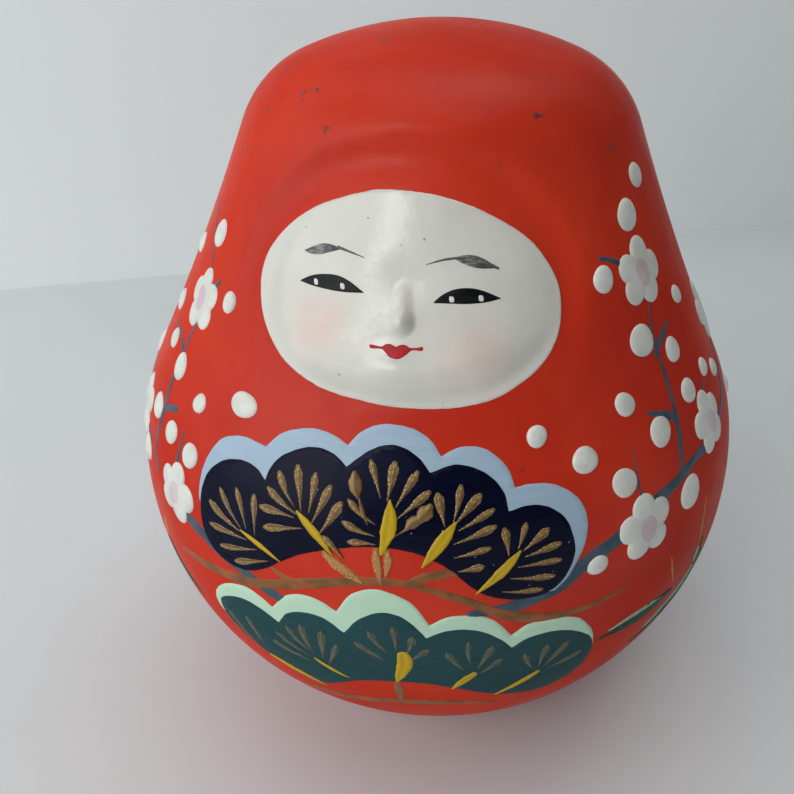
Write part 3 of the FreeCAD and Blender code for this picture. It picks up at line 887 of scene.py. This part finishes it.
# Gold needles, each from its fat outer end towards its thin inner end, lobe by lobe from the
# doll's right.
NAVY_NEEDLES = [
    [(-30.3, 92.6), (-24.0, 89.7)], [(-28.2, 96.6), (-23.6, 90.8)], [(-24.7, 98.2), (-22.3, 91.2)],
    [(-30.0, 87.4), (-22.6, 88.0)], [(-27.6, 83.4), (-20.4, 86.6)], [(-24.4, 81.3), (-18.6, 84.6)],
    [(-21.0, 98.4), (-20.4, 91.0)],
    [(-19.6, 96.6), (-14.2, 96.6)], [(-18.6, 92.6), (-12.8, 94.6)], [(-8.6, 94.2), (-5.6, 90.8)],
    [(-18.6, 100.8), (-13.3, 97.6)], [(-17.0, 104.4), (-14.0, 99.4)], [(-13.9, 106.4), (-12.6, 99.2)],
    [(-10.7, 105.8), (-11.1, 98.8)], [(-8.0, 104.1), (-10.2, 97.2)], [(-6.1, 101.4), (-8.8, 95.4)],
    [(-2.1, 109.6), (-0.3, 103.8)], [(1.7, 109.6), (1.0, 103.6)],
    [(5.3, 108.3), (2.5, 102.4)], [(7.2, 105.0), (3.1, 100.4)], [(-5.0, 102.2), (-1.0, 98.6)],
    [(-5.6, 97.9), (-1.2, 96.2)], [(-4.6, 94.1), (-0.9, 94.3)],
    [(8.4, 104.6), (9.4, 99.4)], [(11.9, 106.1), (10.9, 100.1)], [(14.8, 104.4), (11.4, 99.6)],
    [(16.8, 101.6), (12.0, 98.2)], [(17.0, 98.4), (11.6, 95.6)], [(16.2, 94.2), (11.4, 92.6)],
    [(15.2, 90.4), (12.0, 89.6)],
    [(18.3, 97.8), (18.9, 92.8)], [(21.6, 98.4), (20.5, 94.0)], [(25.0, 96.7), (21.6, 93.4)],
    [(26.9, 93.4), (21.8, 91.8)], [(27.0, 89.8), (20.9, 89.6)], [(26.0, 86.4), (19.8, 87.2)],
    [(24.2, 83.7), (18.6, 84.3)],
]
NAVY_LEAVES = [
    ([(-23.3, 89.8), (-19.3, 88.1), (-15.6, 86.0)], [0.12, 0.5, 0.6, 0.42, 0.1]),
    ([(-13.1, 98.0), (-9.8, 94.4), (-6.9, 90.6)], [0.25, 0.85, 0.95, 0.6, 0.12]),
    ([(1.3, 103.2), (1.4, 98.4), (0.4, 92.6)], [0.12, 1.0, 1.5, 1.5, 0.9, 0.45]),
    ([(11.1, 99.4), (9.0, 95.4), (6.3, 90.2)], [0.25, 1.1, 1.35, 0.9, 0.12]),
    ([(20.7, 93.0), (17.9, 88.8), (14.2, 84.2)], [0.25, 0.95, 1.1, 0.65, 0.1]),
]
# Drops of gold that dried thick, and their thin tails.
GOLD_LUMPS = [
    ([(-4.4, 107.2), (-4.1, 105.0), (-3.5, 102.8)], [0.5, 1.25, 1.45, 1.1, 0.3]),
    ([(7.4, 102.4), (6.5, 100.9), (5.4, 99.4)], [0.7, 1.6, 1.3, 0.8]),
    ([(6.2, 100.4), (4.9, 99.3), (4.0, 98.1)], [0.5, 1.1, 1.3, 0.5]),
]
GOLD_TAILS = [
    ([(-3.5, 103.4), (-2.8, 100.8), (-1.8, 98.0)], [0.2, 0.3, 0.45, 0.35, 0.12]),
    ([(4.8, 98.6), (3.4, 97.4), (2.4, 96.4)], [0.4, 0.25, 0.08]),
]
TEAL_NEEDLES = [
    [(-27.3, 60.6), (-23.6, 54.4)], [(-29.0, 63.6), (-25.2, 57.6)], [(-24.2, 65.0), (-22.4, 57.0)],
    [(-18.0, 64.6), (-12.6, 60.2)], [(-19.2, 60.6), (-13.0, 58.0)], [(-12.8, 70.0), (-11.6, 62.6)],
    [(-15.6, 68.0), (-12.0, 61.8)], [(-9.2, 69.9), (-9.8, 61.4)], [(-6.9, 66.6), (-8.8, 59.4)],
    [(-1.5, 73.0), (1.0, 67.6)], [(2.2, 75.0), (2.5, 68.8)], [(-3.7, 68.9), (0.4, 64.4)],
    [(5.2, 72.6), (4.4, 68.0)], [(7.6, 69.0), (5.0, 65.4)],
    [(13.6, 71.4), (14.2, 64.6)], [(10.4, 68.2), (13.0, 62.6)], [(17.4, 69.4), (15.6, 63.2)],
    [(19.0, 65.0), (16.2, 61.0)],
    [(22.8, 65.6), (24.4, 60.4)], [(29.9, 66.6), (27.0, 60.6)], [(33.2, 61.6), (28.0, 58.6)],
    [(26.4, 67.2), (25.8, 61.0)],
]
TEAL_LEAVES = [
    ([(-21.8, 52.7), (-16.8, 50.2), (-11.1, 46.9)], [0.2, 0.7, 0.75, 0.5, 0.1]),
    ([(-11.6, 59.6), (-8.9, 57.0), (-5.6, 54.4)], [0.15, 0.45, 0.5, 0.3, 0.08]),
    ([(3.7, 67.0), (3.9, 63.5), (2.5, 56.4)], [1.3, 1.75, 1.55, 1.1, 0.3]),
    ([(15.0, 60.6), (13.4, 57.9), (11.6, 54.4)], [0.7, 0.95, 0.8, 0.15]),
    ([(25.9, 58.0), (22.8, 54.1), (19.2, 50.0)], [0.5, 0.75, 0.7, 0.4, 0.1]),
]


def cloud(name, edge, lift, bed, material):
    films = Films()
    loop = wobbled(outline(edge, on_body), 0.04)
    films.add(loop, lift, 1.1, 0.25, bed)
    films.piece(name, material)


NEEDLE_LENGTH = 1.15  # how far a needle runs from its outer point, as a share of the given way
NEEDLE_SHAPE = (0.45, 0.95, 1.0, 0.86, 0.66, 0.48, 0.32, 0.2, 0.08)  # its half width along it


def needles(name, items, bed, material, fat):
    """Brushed needles: blunt outside, with a long thin tail."""
    films = Films()
    for outer, inner in items:
        inner = [o + NEEDLE_LENGTH * (i - o) for o, i in zip(outer, inner)]
        middle = [(o + i) / 2 for o, i in zip(outer, inner)]
        bend = RNG.uniform(-0.25, 0.25)
        middle = (middle[0] + bend, middle[1] + bend)
        size = fat * RNG.uniform(0.8, 1.2)
        widths = [size * share for share in NEEDLE_SHAPE]
        loop, line = stroke_loop(on_body([outer, middle, inner]), widths, 0.035, 0.35)
        films.add(loop, bed + NEEDLE_RISE, 0.45, 0.12, bed, 0.06, line)
    films.piece(name, material)


def make_gold_lumps(material):
    """Thick drops with their tails, all on the navy cloud."""
    films = Films()
    strokes(films, GOLD_LUMPS, 0.4, 0.3, rim=0.15, bed=0.3, dome=0.6)
    strokes(films, GOLD_TAILS, 0.36, 0.4, rim=0.12, bed=NAVY_LIFT, dome=0.1)
    films.piece("gold_lumps", material)


def make_clouds():
    pale = paint_look("pale_blue_paint", paint(160, 184, 204), paint(176, 198, 216), 0.5, 0.4)
    mint = paint_look("mint_paint", paint(188, 220, 194), paint(200, 230, 208), 0.5, 0.4)
    dust = paint(170, 178, 190)
    navy = paint_look(
        "navy_paint", paint(7, 10, 32), paint(12, 20, 52), 0.55, 0.24, dust, 0.15, coat=0.03
    )
    teal = paint_look("teal_paint", TEAL, paint(30, 78, 84), 0.6, 0.28, gloss=0.3)
    cloud("pine_cloud_pale_edge", PALE_EDGE, PALE_LIFT, 0.0, pale)
    cloud("pine_cloud_navy", NAVY_EDGE, NAVY_LIFT, NAVY_BED, navy)
    cloud("pine_cloud_mint_edge", MINT_EDGE, MINT_LIFT, 0.0, mint)
    cloud("pine_cloud_teal", TEAL_EDGE, TEAL_LIFT, TEAL_BED, teal)
    gold = dry_brush_look(
        "needle_gold", paint(134, 104, 60), paint(40, 32, 34), (0.34, 0.5), paint(244, 212, 150), 0.4
    )
    thick = paint_look("gold_thick", paint(112, 84, 44), paint(168, 132, 78), 0.9, 0.2, coat=0.5)
    faded = dry_brush_look(
        "needle_gold_faded", paint(124, 108, 72), TEAL, (0.43, 0.64), paint(190, 166, 112), 0.3
    )
    needles("pine_needles_upper", NAVY_NEEDLES, NAVY_LIFT, gold, 0.88)
    make_gold_lumps(thick)
    needles("pine_needles_lower", TEAL_NEEDLES, TEAL_LIFT, faded, 0.9)
    yellow = paint_look("leaf_yellow", paint(204, 168, 26), paint(150, 124, 18), 0.9, 0.38)
    for name, leaves, level in (
        ("pine_stems_upper", NAVY_LEAVES, NAVY_LIFT), ("pine_stems_lower", TEAL_LEAVES, TEAL_LIFT)
    ):
        bed = level + LEAF_BED_RISE
        stroke_piece(name, leaves, yellow, "raised_chalk", bed + LEAF_RISE, 0.6, rim=0.15,
                     bed=bed, dome=0.12, wobble=0.03, step=0.4)


# ---- branches and leaves

# Strokes, each (the points of its centre line, the half widths along it).
BLUE_GREY_STROKES = [
    # the two thick low branches
    ([(-41.4, 87.6), (-36.8, 84.6), (-30.7, 82.4), (-24.2, 79.9), (-19.0, 77.2), (-13.5, 75.0)],
     [1.0, 1.5, 1.6, 1.5, 1.4, 1.2]),
    ([(59.8, 99.8), (52.0, 97.4), (45.6, 95.3), (38.1, 91.4), (31.3, 87.4), (26.3, 83.2),
      (20.0, 80.2), (13.5, 79.0)], [0.8, 1.3, 1.7, 1.9, 1.8, 1.8, 1.6, 0.8]),
    # the doll's right-hand side
    ([(-48.3, 88.5), (-50.5, 91.5), (-50.4, 97.5), (-50.3, 104.1), (-50.9, 109.0),
      (-50.6, 115.6), (-49.4, 122.5)], [0.5, 0.7, 0.85, 0.8, 0.75, 0.6, 0.55]),
    ([(-50.2, 124.0), (-51.0, 134.5), (-56.7, 140.7), (-62.3, 146.0)], [0.5, 0.4, 0.35, 0.3]),
    ([(-50.2, 102.9), (-47.6, 104.2), (-45.1, 105.2)], [0.7, 0.9, 0.8]),
    ([(-42.0, 91.0), (-41.0, 97.0), (-40.6, 102.5)], [0.8, 0.6, 0.3]),
    ([(-61.5, 118.2), (-55.5, 117.6), (-50.6, 115.4)], [0.3, 0.45, 0.6]),
    ([(-48.0, 128.5), (-46.0, 131.0), (-44.3, 132.7)], [0.5, 0.75, 0.6]),
    ([(-54.0, 92.0), (-62.0, 96.0), (-72.0, 102.0), (-80.0, 112.0), (-86.0, 121.0)],
     [0.5, 0.9, 0.8, 0.6, 0.3]),
    # the doll's left-hand side
    ([(52.3, 98.0), (53.5, 106.1), (54.3, 113.3), (54.1, 119.6), (53.8, 125.8), (55.2, 132.1)],
     [0.75, 0.85, 0.75, 0.6, 0.42, 0.3]),
    ([(53.2, 121.8), (56.4, 124.0), (60.4, 126.0)], [0.95, 0.9, 0.4]),
    ([(46.6, 112.2), (50.4, 110.8), (54.0, 108.8)], [0.3, 0.85, 1.1]),
    ([(41.8, 107.2), (41.6, 102.2), (42.1, 96.0)], [0.15, 0.3, 0.4]),
    ([(43.0, 141.8), (47.4, 140.4), (50.9, 138.0)], [0.45, 0.6, 0.75]),
    ([(68.6, 110.6), (66.0, 109.6), (64.3, 107.0)], [0.3, 0.5, 0.5]),
    ([(58.0, 98.6), (66.0, 99.6), (76.0, 104.0), (84.0, 112.0), (87.0, 119.0)],
     [0.9, 1.0, 0.8, 0.55, 0.3]),
]
BROWN_STROKES = [
    ([(-40.2, 73.2), (-33.0, 74.4), (-23.6, 76.6), (-18.1, 78.8), (-10.6, 82.7), (-3.1, 85.6),
      (3.1, 86.4), (6.9, 85.3), (12.6, 82.6), (18.6, 78.4), (24.8, 76.0), (32.1, 75.8),
      (39.7, 77.6)], [0.5, 1.0, 1.3, 1.4, 1.3, 1.1, 0.9, 0.8, 1.0, 1.3, 1.1, 0.7, 0.3]),
    ([(-17.4, 83.6), (-15.0, 82.2), (-12.2, 81.8)], [0.4, 0.8, 0.5]),
    ([(13.2, 89.2), (10.0, 88.9), (7.0, 87.9), (4.0, 86.0)], [0.5, 1.0, 1.2, 0.8]),
    ([(-17.0, 41.5), (-9.7, 41.2), (1.4, 45.0), (8.2, 47.0)], [0.5, 1.3, 1.4, 1.1, 0.4]),
    ([(3.0, 44.6), (12.0, 46.0), (21.0, 44.4)], [0.4, 1.2, 0.9, 0.3]),
    ([(2.4, 55.9), (2.9, 46.4)], [0.8, 1.1, 0.5]),
]
GOLD_STROKES = [
    ([(-8.3, 90.6), (-5.5, 88.0), (-2.4, 85.6)], [0.7, 1.15, 1.1, 0.4]),
    ([(-0.5, 93.3), (-0.2, 89.8), (0.5, 85.4)], [0.6, 0.95, 0.75, 0.2]),
    ([(1.2, 93.1), (1.4, 90.8), (1.1, 87.6)], [0.6, 0.9, 0.7, 0.25]),
]
OCHRE_STROKES = [
    ([(60.3, 88.0), (59.8, 81.6), (60.4, 73.6)], [0.2, 0.5, 0.3]),
    ([(50.0, 78.6), (51.3, 73.9), (53.0, 69.0)], [0.2, 0.4, 0.15]),
    ([(-47.6, 76.0), (-48.0, 72.6), (-49.0, 68.9)], [0.4, 0.9, 0.8, 0.3]),
]
LEAVES = [
    ([(36.0, 62.8), (42.4, 64.0), (47.4, 65.0), (53.4, 66.2)], [0.12, 1.3, 2.2, 2.1, 0.6]),
    ([(47.4, 51.6), (54.0, 56.4), (59.4, 61.6), (64.0, 69.4)], [0.12, 1.6, 2.6, 2.4, 0.6]),
    ([(58.4, 62.0), (61.4, 68.0), (61.6, 75.4)], [0.6, 1.7, 1.5, 0.3]),
    ([(-49.0, 69.6), (-45.6, 64.6), (-42.4, 61.8), (-37.6, 59.2)], [0.15, 1.0, 1.3, 0.8, 0.12]),
]
LEAF_HEARTS = [
    ([(38.0, 64.8), (43.1, 66.3), (50.4, 66.9)], [0.1, 0.4, 0.6, 0.5, 0.12]),
    ([(49.1, 56.0), (53.0, 59.8), (57.4, 63.6), (61.0, 69.0)], [0.1, 0.4, 0.5, 0.45, 0.1]),
    ([(60.0, 69.0), (60.4, 74.0)], [0.12, 0.4, 0.1]),
]
# Chips in the coat, each (azimuth in degrees, height, size).
CHIPS = [
    (-24.0, 178.9, 1.1), (-34.9, 169.9, 1.0), (-30.1, 170.7, 0.9), (-33.0, 168.9, 0.6),
    (-21.4, 164.7, 0.9), (32.6, 167.3, 1.1), (54.7, 160.5, 0.9), (49.0, 181.0, 0.5),
    (21.4, 159.9, 0.55), (-21.4, 175.4, 0.5), (-52.0, 158.0, 0.9), (-47.5, 166.0, 0.8),
    (53.3, 104.0, 0.9), (53.9, 161.1, 0.8), (21.5, 108.0, 0.4), (60.5, 109.5, 0.5),
    (120.0, 130.0, 0.8), (150.0, 84.0, 1.0), (-130.0, 104.0, 0.9), (-165.0, 160.0, 0.8),
    (172.0, 120.0, 0.6), (-100.0, 66.0, 0.9),
]


def blot(azimuth, height, size):
    """A small chart loop with an uneven outline."""
    turns = np.linspace(0, math.tau, 15, endpoint=False)
    phases = [RNG.random() * math.tau for _ in range(3)]
    shape = 1 + sum(0.22 * np.sin(k * turns + p) for k, p in zip((2, 3, 5), phases))
    centre = on_body([(azimuth, height)])[0]
    scale = CHART_RADIUS / radius_along(centre[1])
    out = np.stack([np.cos(turns) * scale, np.sin(turns) * 0.7], -1)
    return centre + out * (shape * size)[:, None]


def make_brushwork():
    blue = dry_brush_look("branch_blue_grey", paint(66, 92, 108), paint(122, 60, 62), (0.2, 0.5))
    stroke_piece("plum_branches", BLUE_GREY_STROKES, blue, "vermilion_coat", 0.1, 0.9)
    brown = dry_brush_look("pine_branch_brown", paint(146, 98, 52), VERMILION_DEEP, (0.26, 0.52))
    stroke_piece("pine_branches", BROWN_STROKES, brown, "vermilion_coat", 0.16, 0.7)
    gold = dry_brush_look(
        "branch_gold", paint(186, 128, 74), VERMILION_DEEP, (0.26, 0.44), paint(246, 214, 160), 0.4
    )
    stroke_piece("pine_branch_gold", GOLD_STROKES, gold, "raised_chalk", 0.3, 0.5, dome=0.1)
    ochre = dry_brush_look("grass_ochre", paint(206, 132, 40), VERMILION, (0.2, 0.5))
    stroke_piece("grass_strokes", OCHRE_STROKES, ochre, "vermilion_coat", 0.1, 0.5, rim=0.15)
    green = paint_look("leaf_green", paint(20, 58, 42), paint(30, 92, 62), 0.8, 0.34)
    stroke_piece("bamboo_leaves", LEAVES, green, "vermilion_coat", 0.16, 0.7)
    heart = paint_look("leaf_heart", paint(150, 188, 162), paint(112, 158, 130), 0.6, 0.36)
    stroke_piece("bamboo_leaf_hearts", LEAF_HEARTS, heart, "vermilion_coat", 0.24, 0.5, rim=0.15)
    bare = dry_brush_look("chip_brown", paint(138, 62, 42), paint(168, 60, 40), (0.3, 0.6))
    films = Films()
    for azimuth, height, size in CHIPS:
        films.add(blot(azimuth, height, size), 0.05, 0.4, 0.12)
    films.piece("coat_chips", bare)


# ---- buds and blossoms

def islands(node):
    """The separate lumps of a CAD node, each as an array of its points in mm."""
    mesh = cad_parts[node].data
    points = np.array([v.co for v in mesh.vertices]) / MM
    welded = {}
    at = [welded.setdefault(tuple(p), len(welded)) for p in np.round(points, 2)]
    parent = list(range(len(welded)))

    def root(i):
        while parent[i] != i:
            parent[i] = parent[parent[i]]
            i = parent[i]
        return i

    for edge in mesh.edges:
        a, b = (root(at[i]) for i in edge.vertices)
        parent[a] = b
    groups = {}
    for i, spot in enumerate(welded):
        groups.setdefault(root(i), []).append(spot)
    return [np.array(group) for group in sorted(groups.values(), key=lambda g: g[0])]


def measured(lump):
    """One lump's azimuth, along and radius, and the turn of its five-fold shape."""
    middle = (lump.min(0) + lump.max(0)) / 2
    azimuth = math.atan2(middle[0], -middle[1])
    along = along_at(middle[2])
    across = (np.arctan2(lump[:, 0], -lump[:, 1]) - azimuth) * radius_along(along)
    up = along_at(lump[:, 2]) - along
    reach = np.hypot(across, up)
    turn = np.arctan2(up, across)
    phase = np.angle((reach**3 * np.exp(5j * turn)).sum()) / 5
    return azimuth, along, reach.max(), phase


LUMP_UNDERSIDE = -0.15


def blob(azimuth, along, rim, rings, height, segments):
    """A raised lump: rim(turn) is its radius, height(share, turn) its rise over the skin."""
    turns = np.linspace(0, math.tau, segments, endpoint=False)
    middle = np.array([azimuth]), np.array([along])
    vertices = [surface(*middle, height(np.zeros(1), np.zeros(1)))]
    for share in np.sin(np.linspace(0, math.pi / 2, rings + 1)[1:]):
        out = rim(turns) * share
        lift = height(np.full(segments, share), turns)
        a = azimuth + np.cos(turns) * out / radius_along(along)
        vertices.append(surface(a, along + np.sin(turns) * out, lift))
    vertices.append(surface(*middle, LUMP_UNDERSIDE))
    faces = []
    for j in range(segments):
        k = (j + 1) % segments
        faces.append([0, 1 + j, 1 + k])
        for i in range(rings - 1):
            a, b = 1 + i * segments, 1 + (i + 1) * segments
            faces.append([a + j, b + j, b + k, a + k])
        last = 1 + (rings - 1) * segments
        faces.append([last + k, last + j, 1 + rings * segments])
    return np.vstack(vertices), faces


def gather(name, blobs, material):
    """One piece of raised chalk from many blobs."""
    vertices, faces, count = [], [], 0
    for points, polygons in blobs:
        vertices.append(points)
        faces += [[i + count for i in f] for f in polygons]
        count += len(points)
    return mesh_object(name, np.vstack(vertices), faces, material)


# Buds that dried wider than tall: azimuth in degrees, extra width, and height over width.
WIDE_BUDS = [(-27.3, 1.14, 0.72), (32.3, 1.0, 0.86), (39.0, 1.0, 0.9)]
SAME_BUD = 1.2  # degrees
BUD_TOP = 0.8
BLOSSOM_TOP = 0.66
RAISED_SINK = 0.08  # the foot of a raised lump is this far inside the skin


def bud(lump):
    azimuth, along, reach, _ = measured(lump)
    squash = 1.0
    for at, wider, share in WIDE_BUDS:
        if abs(math.degrees(azimuth) - at) < SAME_BUD:
            reach *= wider
            squash = share
    p, q = RNG.random() * math.tau, RNG.random() * math.tau
    stretch = RNG.uniform(-0.07, 0.07)
    nib = RNG.uniform(0.05, 0.14)

    def rim(turn):
        oval = 1 / np.hypot(np.cos(turn), np.sin(turn) / squash)
        return reach * oval * (1.02 + stretch * np.cos(2 * turn + p) + 0.02 * np.sin(3 * turn + q))

    def height(share, turn):
        lean = 1 + 0.1 * share * np.cos(turn + p)
        tip = nib * np.exp(-((share / 0.16) ** 2))
        return -RAISED_SINK + BUD_TOP * (1 - share**3.0) ** 0.6 * lean + tip

    return blob(azimuth, along, rim, 9, height, 32)


def blossom(lump):
    azimuth, along, reach, phase = measured(lump)
    petals = []
    for i in range(5):
        turn = phase + i * math.tau / 5 + RNG.uniform(-0.1, 0.1)
        petals.append((turn, RNG.uniform(0.55, 0.61) * reach, RNG.uniform(0.38, 0.44) * reach))

    def lobes(turn):
        """How far each petal's round reaches in this direction."""
        reaches = []
        for at, out, half in petals:
            across = out * np.sin(turn - at)
            along_it = out * np.cos(turn - at)
            inside_it = (np.abs(across) < half) & (along_it > 0)
            far = along_it + np.sqrt(np.clip(half**2 - across**2, 0, None))
            reaches.append(np.where(inside_it, far, 0.55 * reach))
        return np.sort(np.array(reaches), axis=0)

    def rim(turn):
        return lobes(turn)[-1]

    def height(share, turn):
        second, first = lobes(turn)[-2:]
        notch = 1 - smooth(first - second, 0.0, 0.16 * reach)
        groove = 0.09 * notch * smooth(share, 0.4, 0.8)
        return -RAISED_SINK + (BLOSSOM_TOP + RAISED_SINK - groove) * (1 - share**5.0) ** 0.5

    return blob(azimuth, along, rim, 12, height, 110)


def blossom_heart(lump):
    azimuth, along, reach, phase = measured(lump)
    lean = RNG.uniform(-0.4, 0.4)

    def rim(turn):
        oval = 1 / np.hypot(np.cos(turn - lean) / 0.31, np.sin(turn - lean) / 0.4)
        return reach * (oval + 0.012 * np.sin(3 * turn + phase))

    def height(share, turn):
        return BLOSSOM_TOP - 0.02 + 0.06 * (1 - share**2) ** 0.5

    return blob(azimuth, along, rim, 5, height, 28)


def make_blossoms():
    white = paint(224, 226, 218), paint(210, 212, 204), paint(120, 112, 100)
    mauve = paint(218, 203, 207), paint(206, 182, 191), paint(150, 104, 126)
    chalk = chalk_look("chalk_paste", *white)
    heart = chalk_look("blossom_mauve", *mauve)
    hearts = []
    for side in ("right_hand", "left_hand"):
        node = "plum_buds_" + side
        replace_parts(gather("buds_" + side, [bud(lump) for lump in islands(node)], chalk), node)
        node = "plum_blossoms_" + side
        lumps = islands(node)
        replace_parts(gather("blossoms_" + side, [blossom(lump) for lump in lumps], chalk), node)
        hearts += [blossom_heart(lump) for lump in lumps]
    gather("blossom_hearts", hearts, heart)


# ---- what the coat hides

def dress_inside():
    wall = paper_look("pasted_paper", paint(206, 192, 164), paint(168, 148, 116))
    strip = paper_look("washi_strip", paint(224, 214, 190), paint(192, 176, 144))
    for node, material in (
        ("front_shell", wall), ("back_shell", wall), ("seam_strip", strip),
        ("weight_cover_paper", strip), ("clay_weight", clay_look()),
    ):
        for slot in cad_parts[node].material_slots:
            slot.material = material


# ---- stage

CAMERA_AZIMUTH = math.radians(7.5)
CAMERA_OUT = 195.5
CAMERA_HEIGHT = 193.4
CAMERA_DOWN = 0.50426  # how far it looks down, aside and leans, in radians
CAMERA_SIDE = -0.05273
CAMERA_ROLL = -0.0034


def make_camera():
    data = bpy.data.cameras.new("camera")
    data.sensor_width = 36.0
    data.lens = 36.0
    data.clip_start = 0.01
    camera = placed("camera", data)
    down, side = math.cos(CAMERA_DOWN), CAMERA_SIDE
    forward = Vector((math.sin(side) * down, math.cos(side) * down, -math.sin(CAMERA_DOWN)))
    right = forward.cross(Vector((0, 0, 1))).normalized()
    up = right.cross(forward)
    c, s = math.cos(CAMERA_ROLL), math.sin(CAMERA_ROLL)
    right, up = right * c + up * s, up * c - right * s
    turn = Matrix([right, up, -forward]).transposed().to_4x4()
    place = Matrix.Translation(Vector((0, -CAMERA_OUT, CAMERA_HEIGHT)) * MM)
    camera.matrix_world = Matrix.Rotation(CAMERA_AZIMUTH, 4, "Z") @ place @ turn
    bpy.context.scene.camera = camera


def stage_look(name, low, high):
    look = Look(name)
    tone = look.noise(3.0, 3.0)
    colour = look.mix(look.span(tone, 0.3, 0.7), low, high)
    look.bumps((look.noise(8.0, 4.0), 0.2, 0.003))
    return look.finish(colour, 0.7)


def sheet(name, corners, material):
    mesh = bpy.data.meshes.new(name)
    mesh.from_pydata(corners, [], [[0, 1, 2, 3]])
    mesh.materials.append(material)
    placed(name, mesh)


# The stage, in metres.
FLOOR = -0.0002
FLOOR_HALF = 4.0
WALL_BEHIND = 0.4
WALL_HALF = 2.5
WALL_HEIGHT = 2.5
WALL_TURN = math.radians(24.5)


def make_stage():
    """A pale table with a pale wall behind it, both well clear of the doll."""
    table = stage_look("table_white", paint(212, 218, 220), paint(221, 226, 227))
    paper = stage_look("wall_white", paint(243, 249, 250), paint(248, 252, 252))
    signs = [(-1, -1), (1, -1), (1, 1), (-1, 1)]
    sheet("floor", [(x * FLOOR_HALF, y * FLOOR_HALF, FLOOR) for x, y in signs], table)
    way = Vector((math.cos(WALL_TURN), math.sin(WALL_TURN), 0)) * WALL_HALF
    foot = Vector((0, WALL_BEHIND, FLOOR))
    up = Vector((0, 0, WALL_HEIGHT))
    left, right = foot - way, foot + way
    sheet("wall", [left, right, right + up, left + up], paper)


def area_light(name, azimuth, elevation, distance, size, watts, colour=(1, 1, 1)):
    """A soft panel that looks at the doll's middle. Azimuth 0 is the front, + is to the right."""
    data = bpy.data.lights.new(name, "AREA")
    data.shape = "RECTANGLE"
    data.size, data.size_y = size
    data.energy = watts
    data.color = colour
    light = placed(name, data)
    a, e = math.radians(azimuth), math.radians(elevation)
    way = Vector((math.sin(a) * math.cos(e), -math.cos(a) * math.cos(e), math.sin(e)))
    light.location = way * distance + Vector((0, 0, HEIGHT / 2 * MM))
    light.rotation_euler = (-way).to_track_quat("-Z", "Y").to_euler()


def make_lights():
    world = bpy.data.worlds.new("world")
    world.use_nodes = True
    sky = world.node_tree.nodes["Background"].inputs
    sky["Color"].default_value = (0.95, 0.98, 1.0, 1)
    sky["Strength"].default_value = 0.11
    bpy.context.scene.world = world
    area_light("window", -46, 21, 1.3, (1.2, 1.2), 8.2, (0.99, 1.0, 1.0))
    area_light("front", -24, 30, 1.3, (1.2, 1.2), 2.4)
    area_light("strip", -17, 38, 1.1, (0.24, 0.24), 0.75)
    area_light("ceiling", 0, 88, 1.3, (1.2, 1.2), 4.7, (1.0, 0.99, 0.98))
    area_light("behind", 160, 60, 1.3, (1.2, 1.2), 3.0)


make_skin(vermilion_look())
make_face_skin()
make_eyes()
make_brows()
make_lips()
make_clouds()
make_brushwork()
make_blossoms()
dress_inside()
make_camera()
make_stage()
make_lights()
bpy.context.scene.view_settings.view_transform = "Standard"
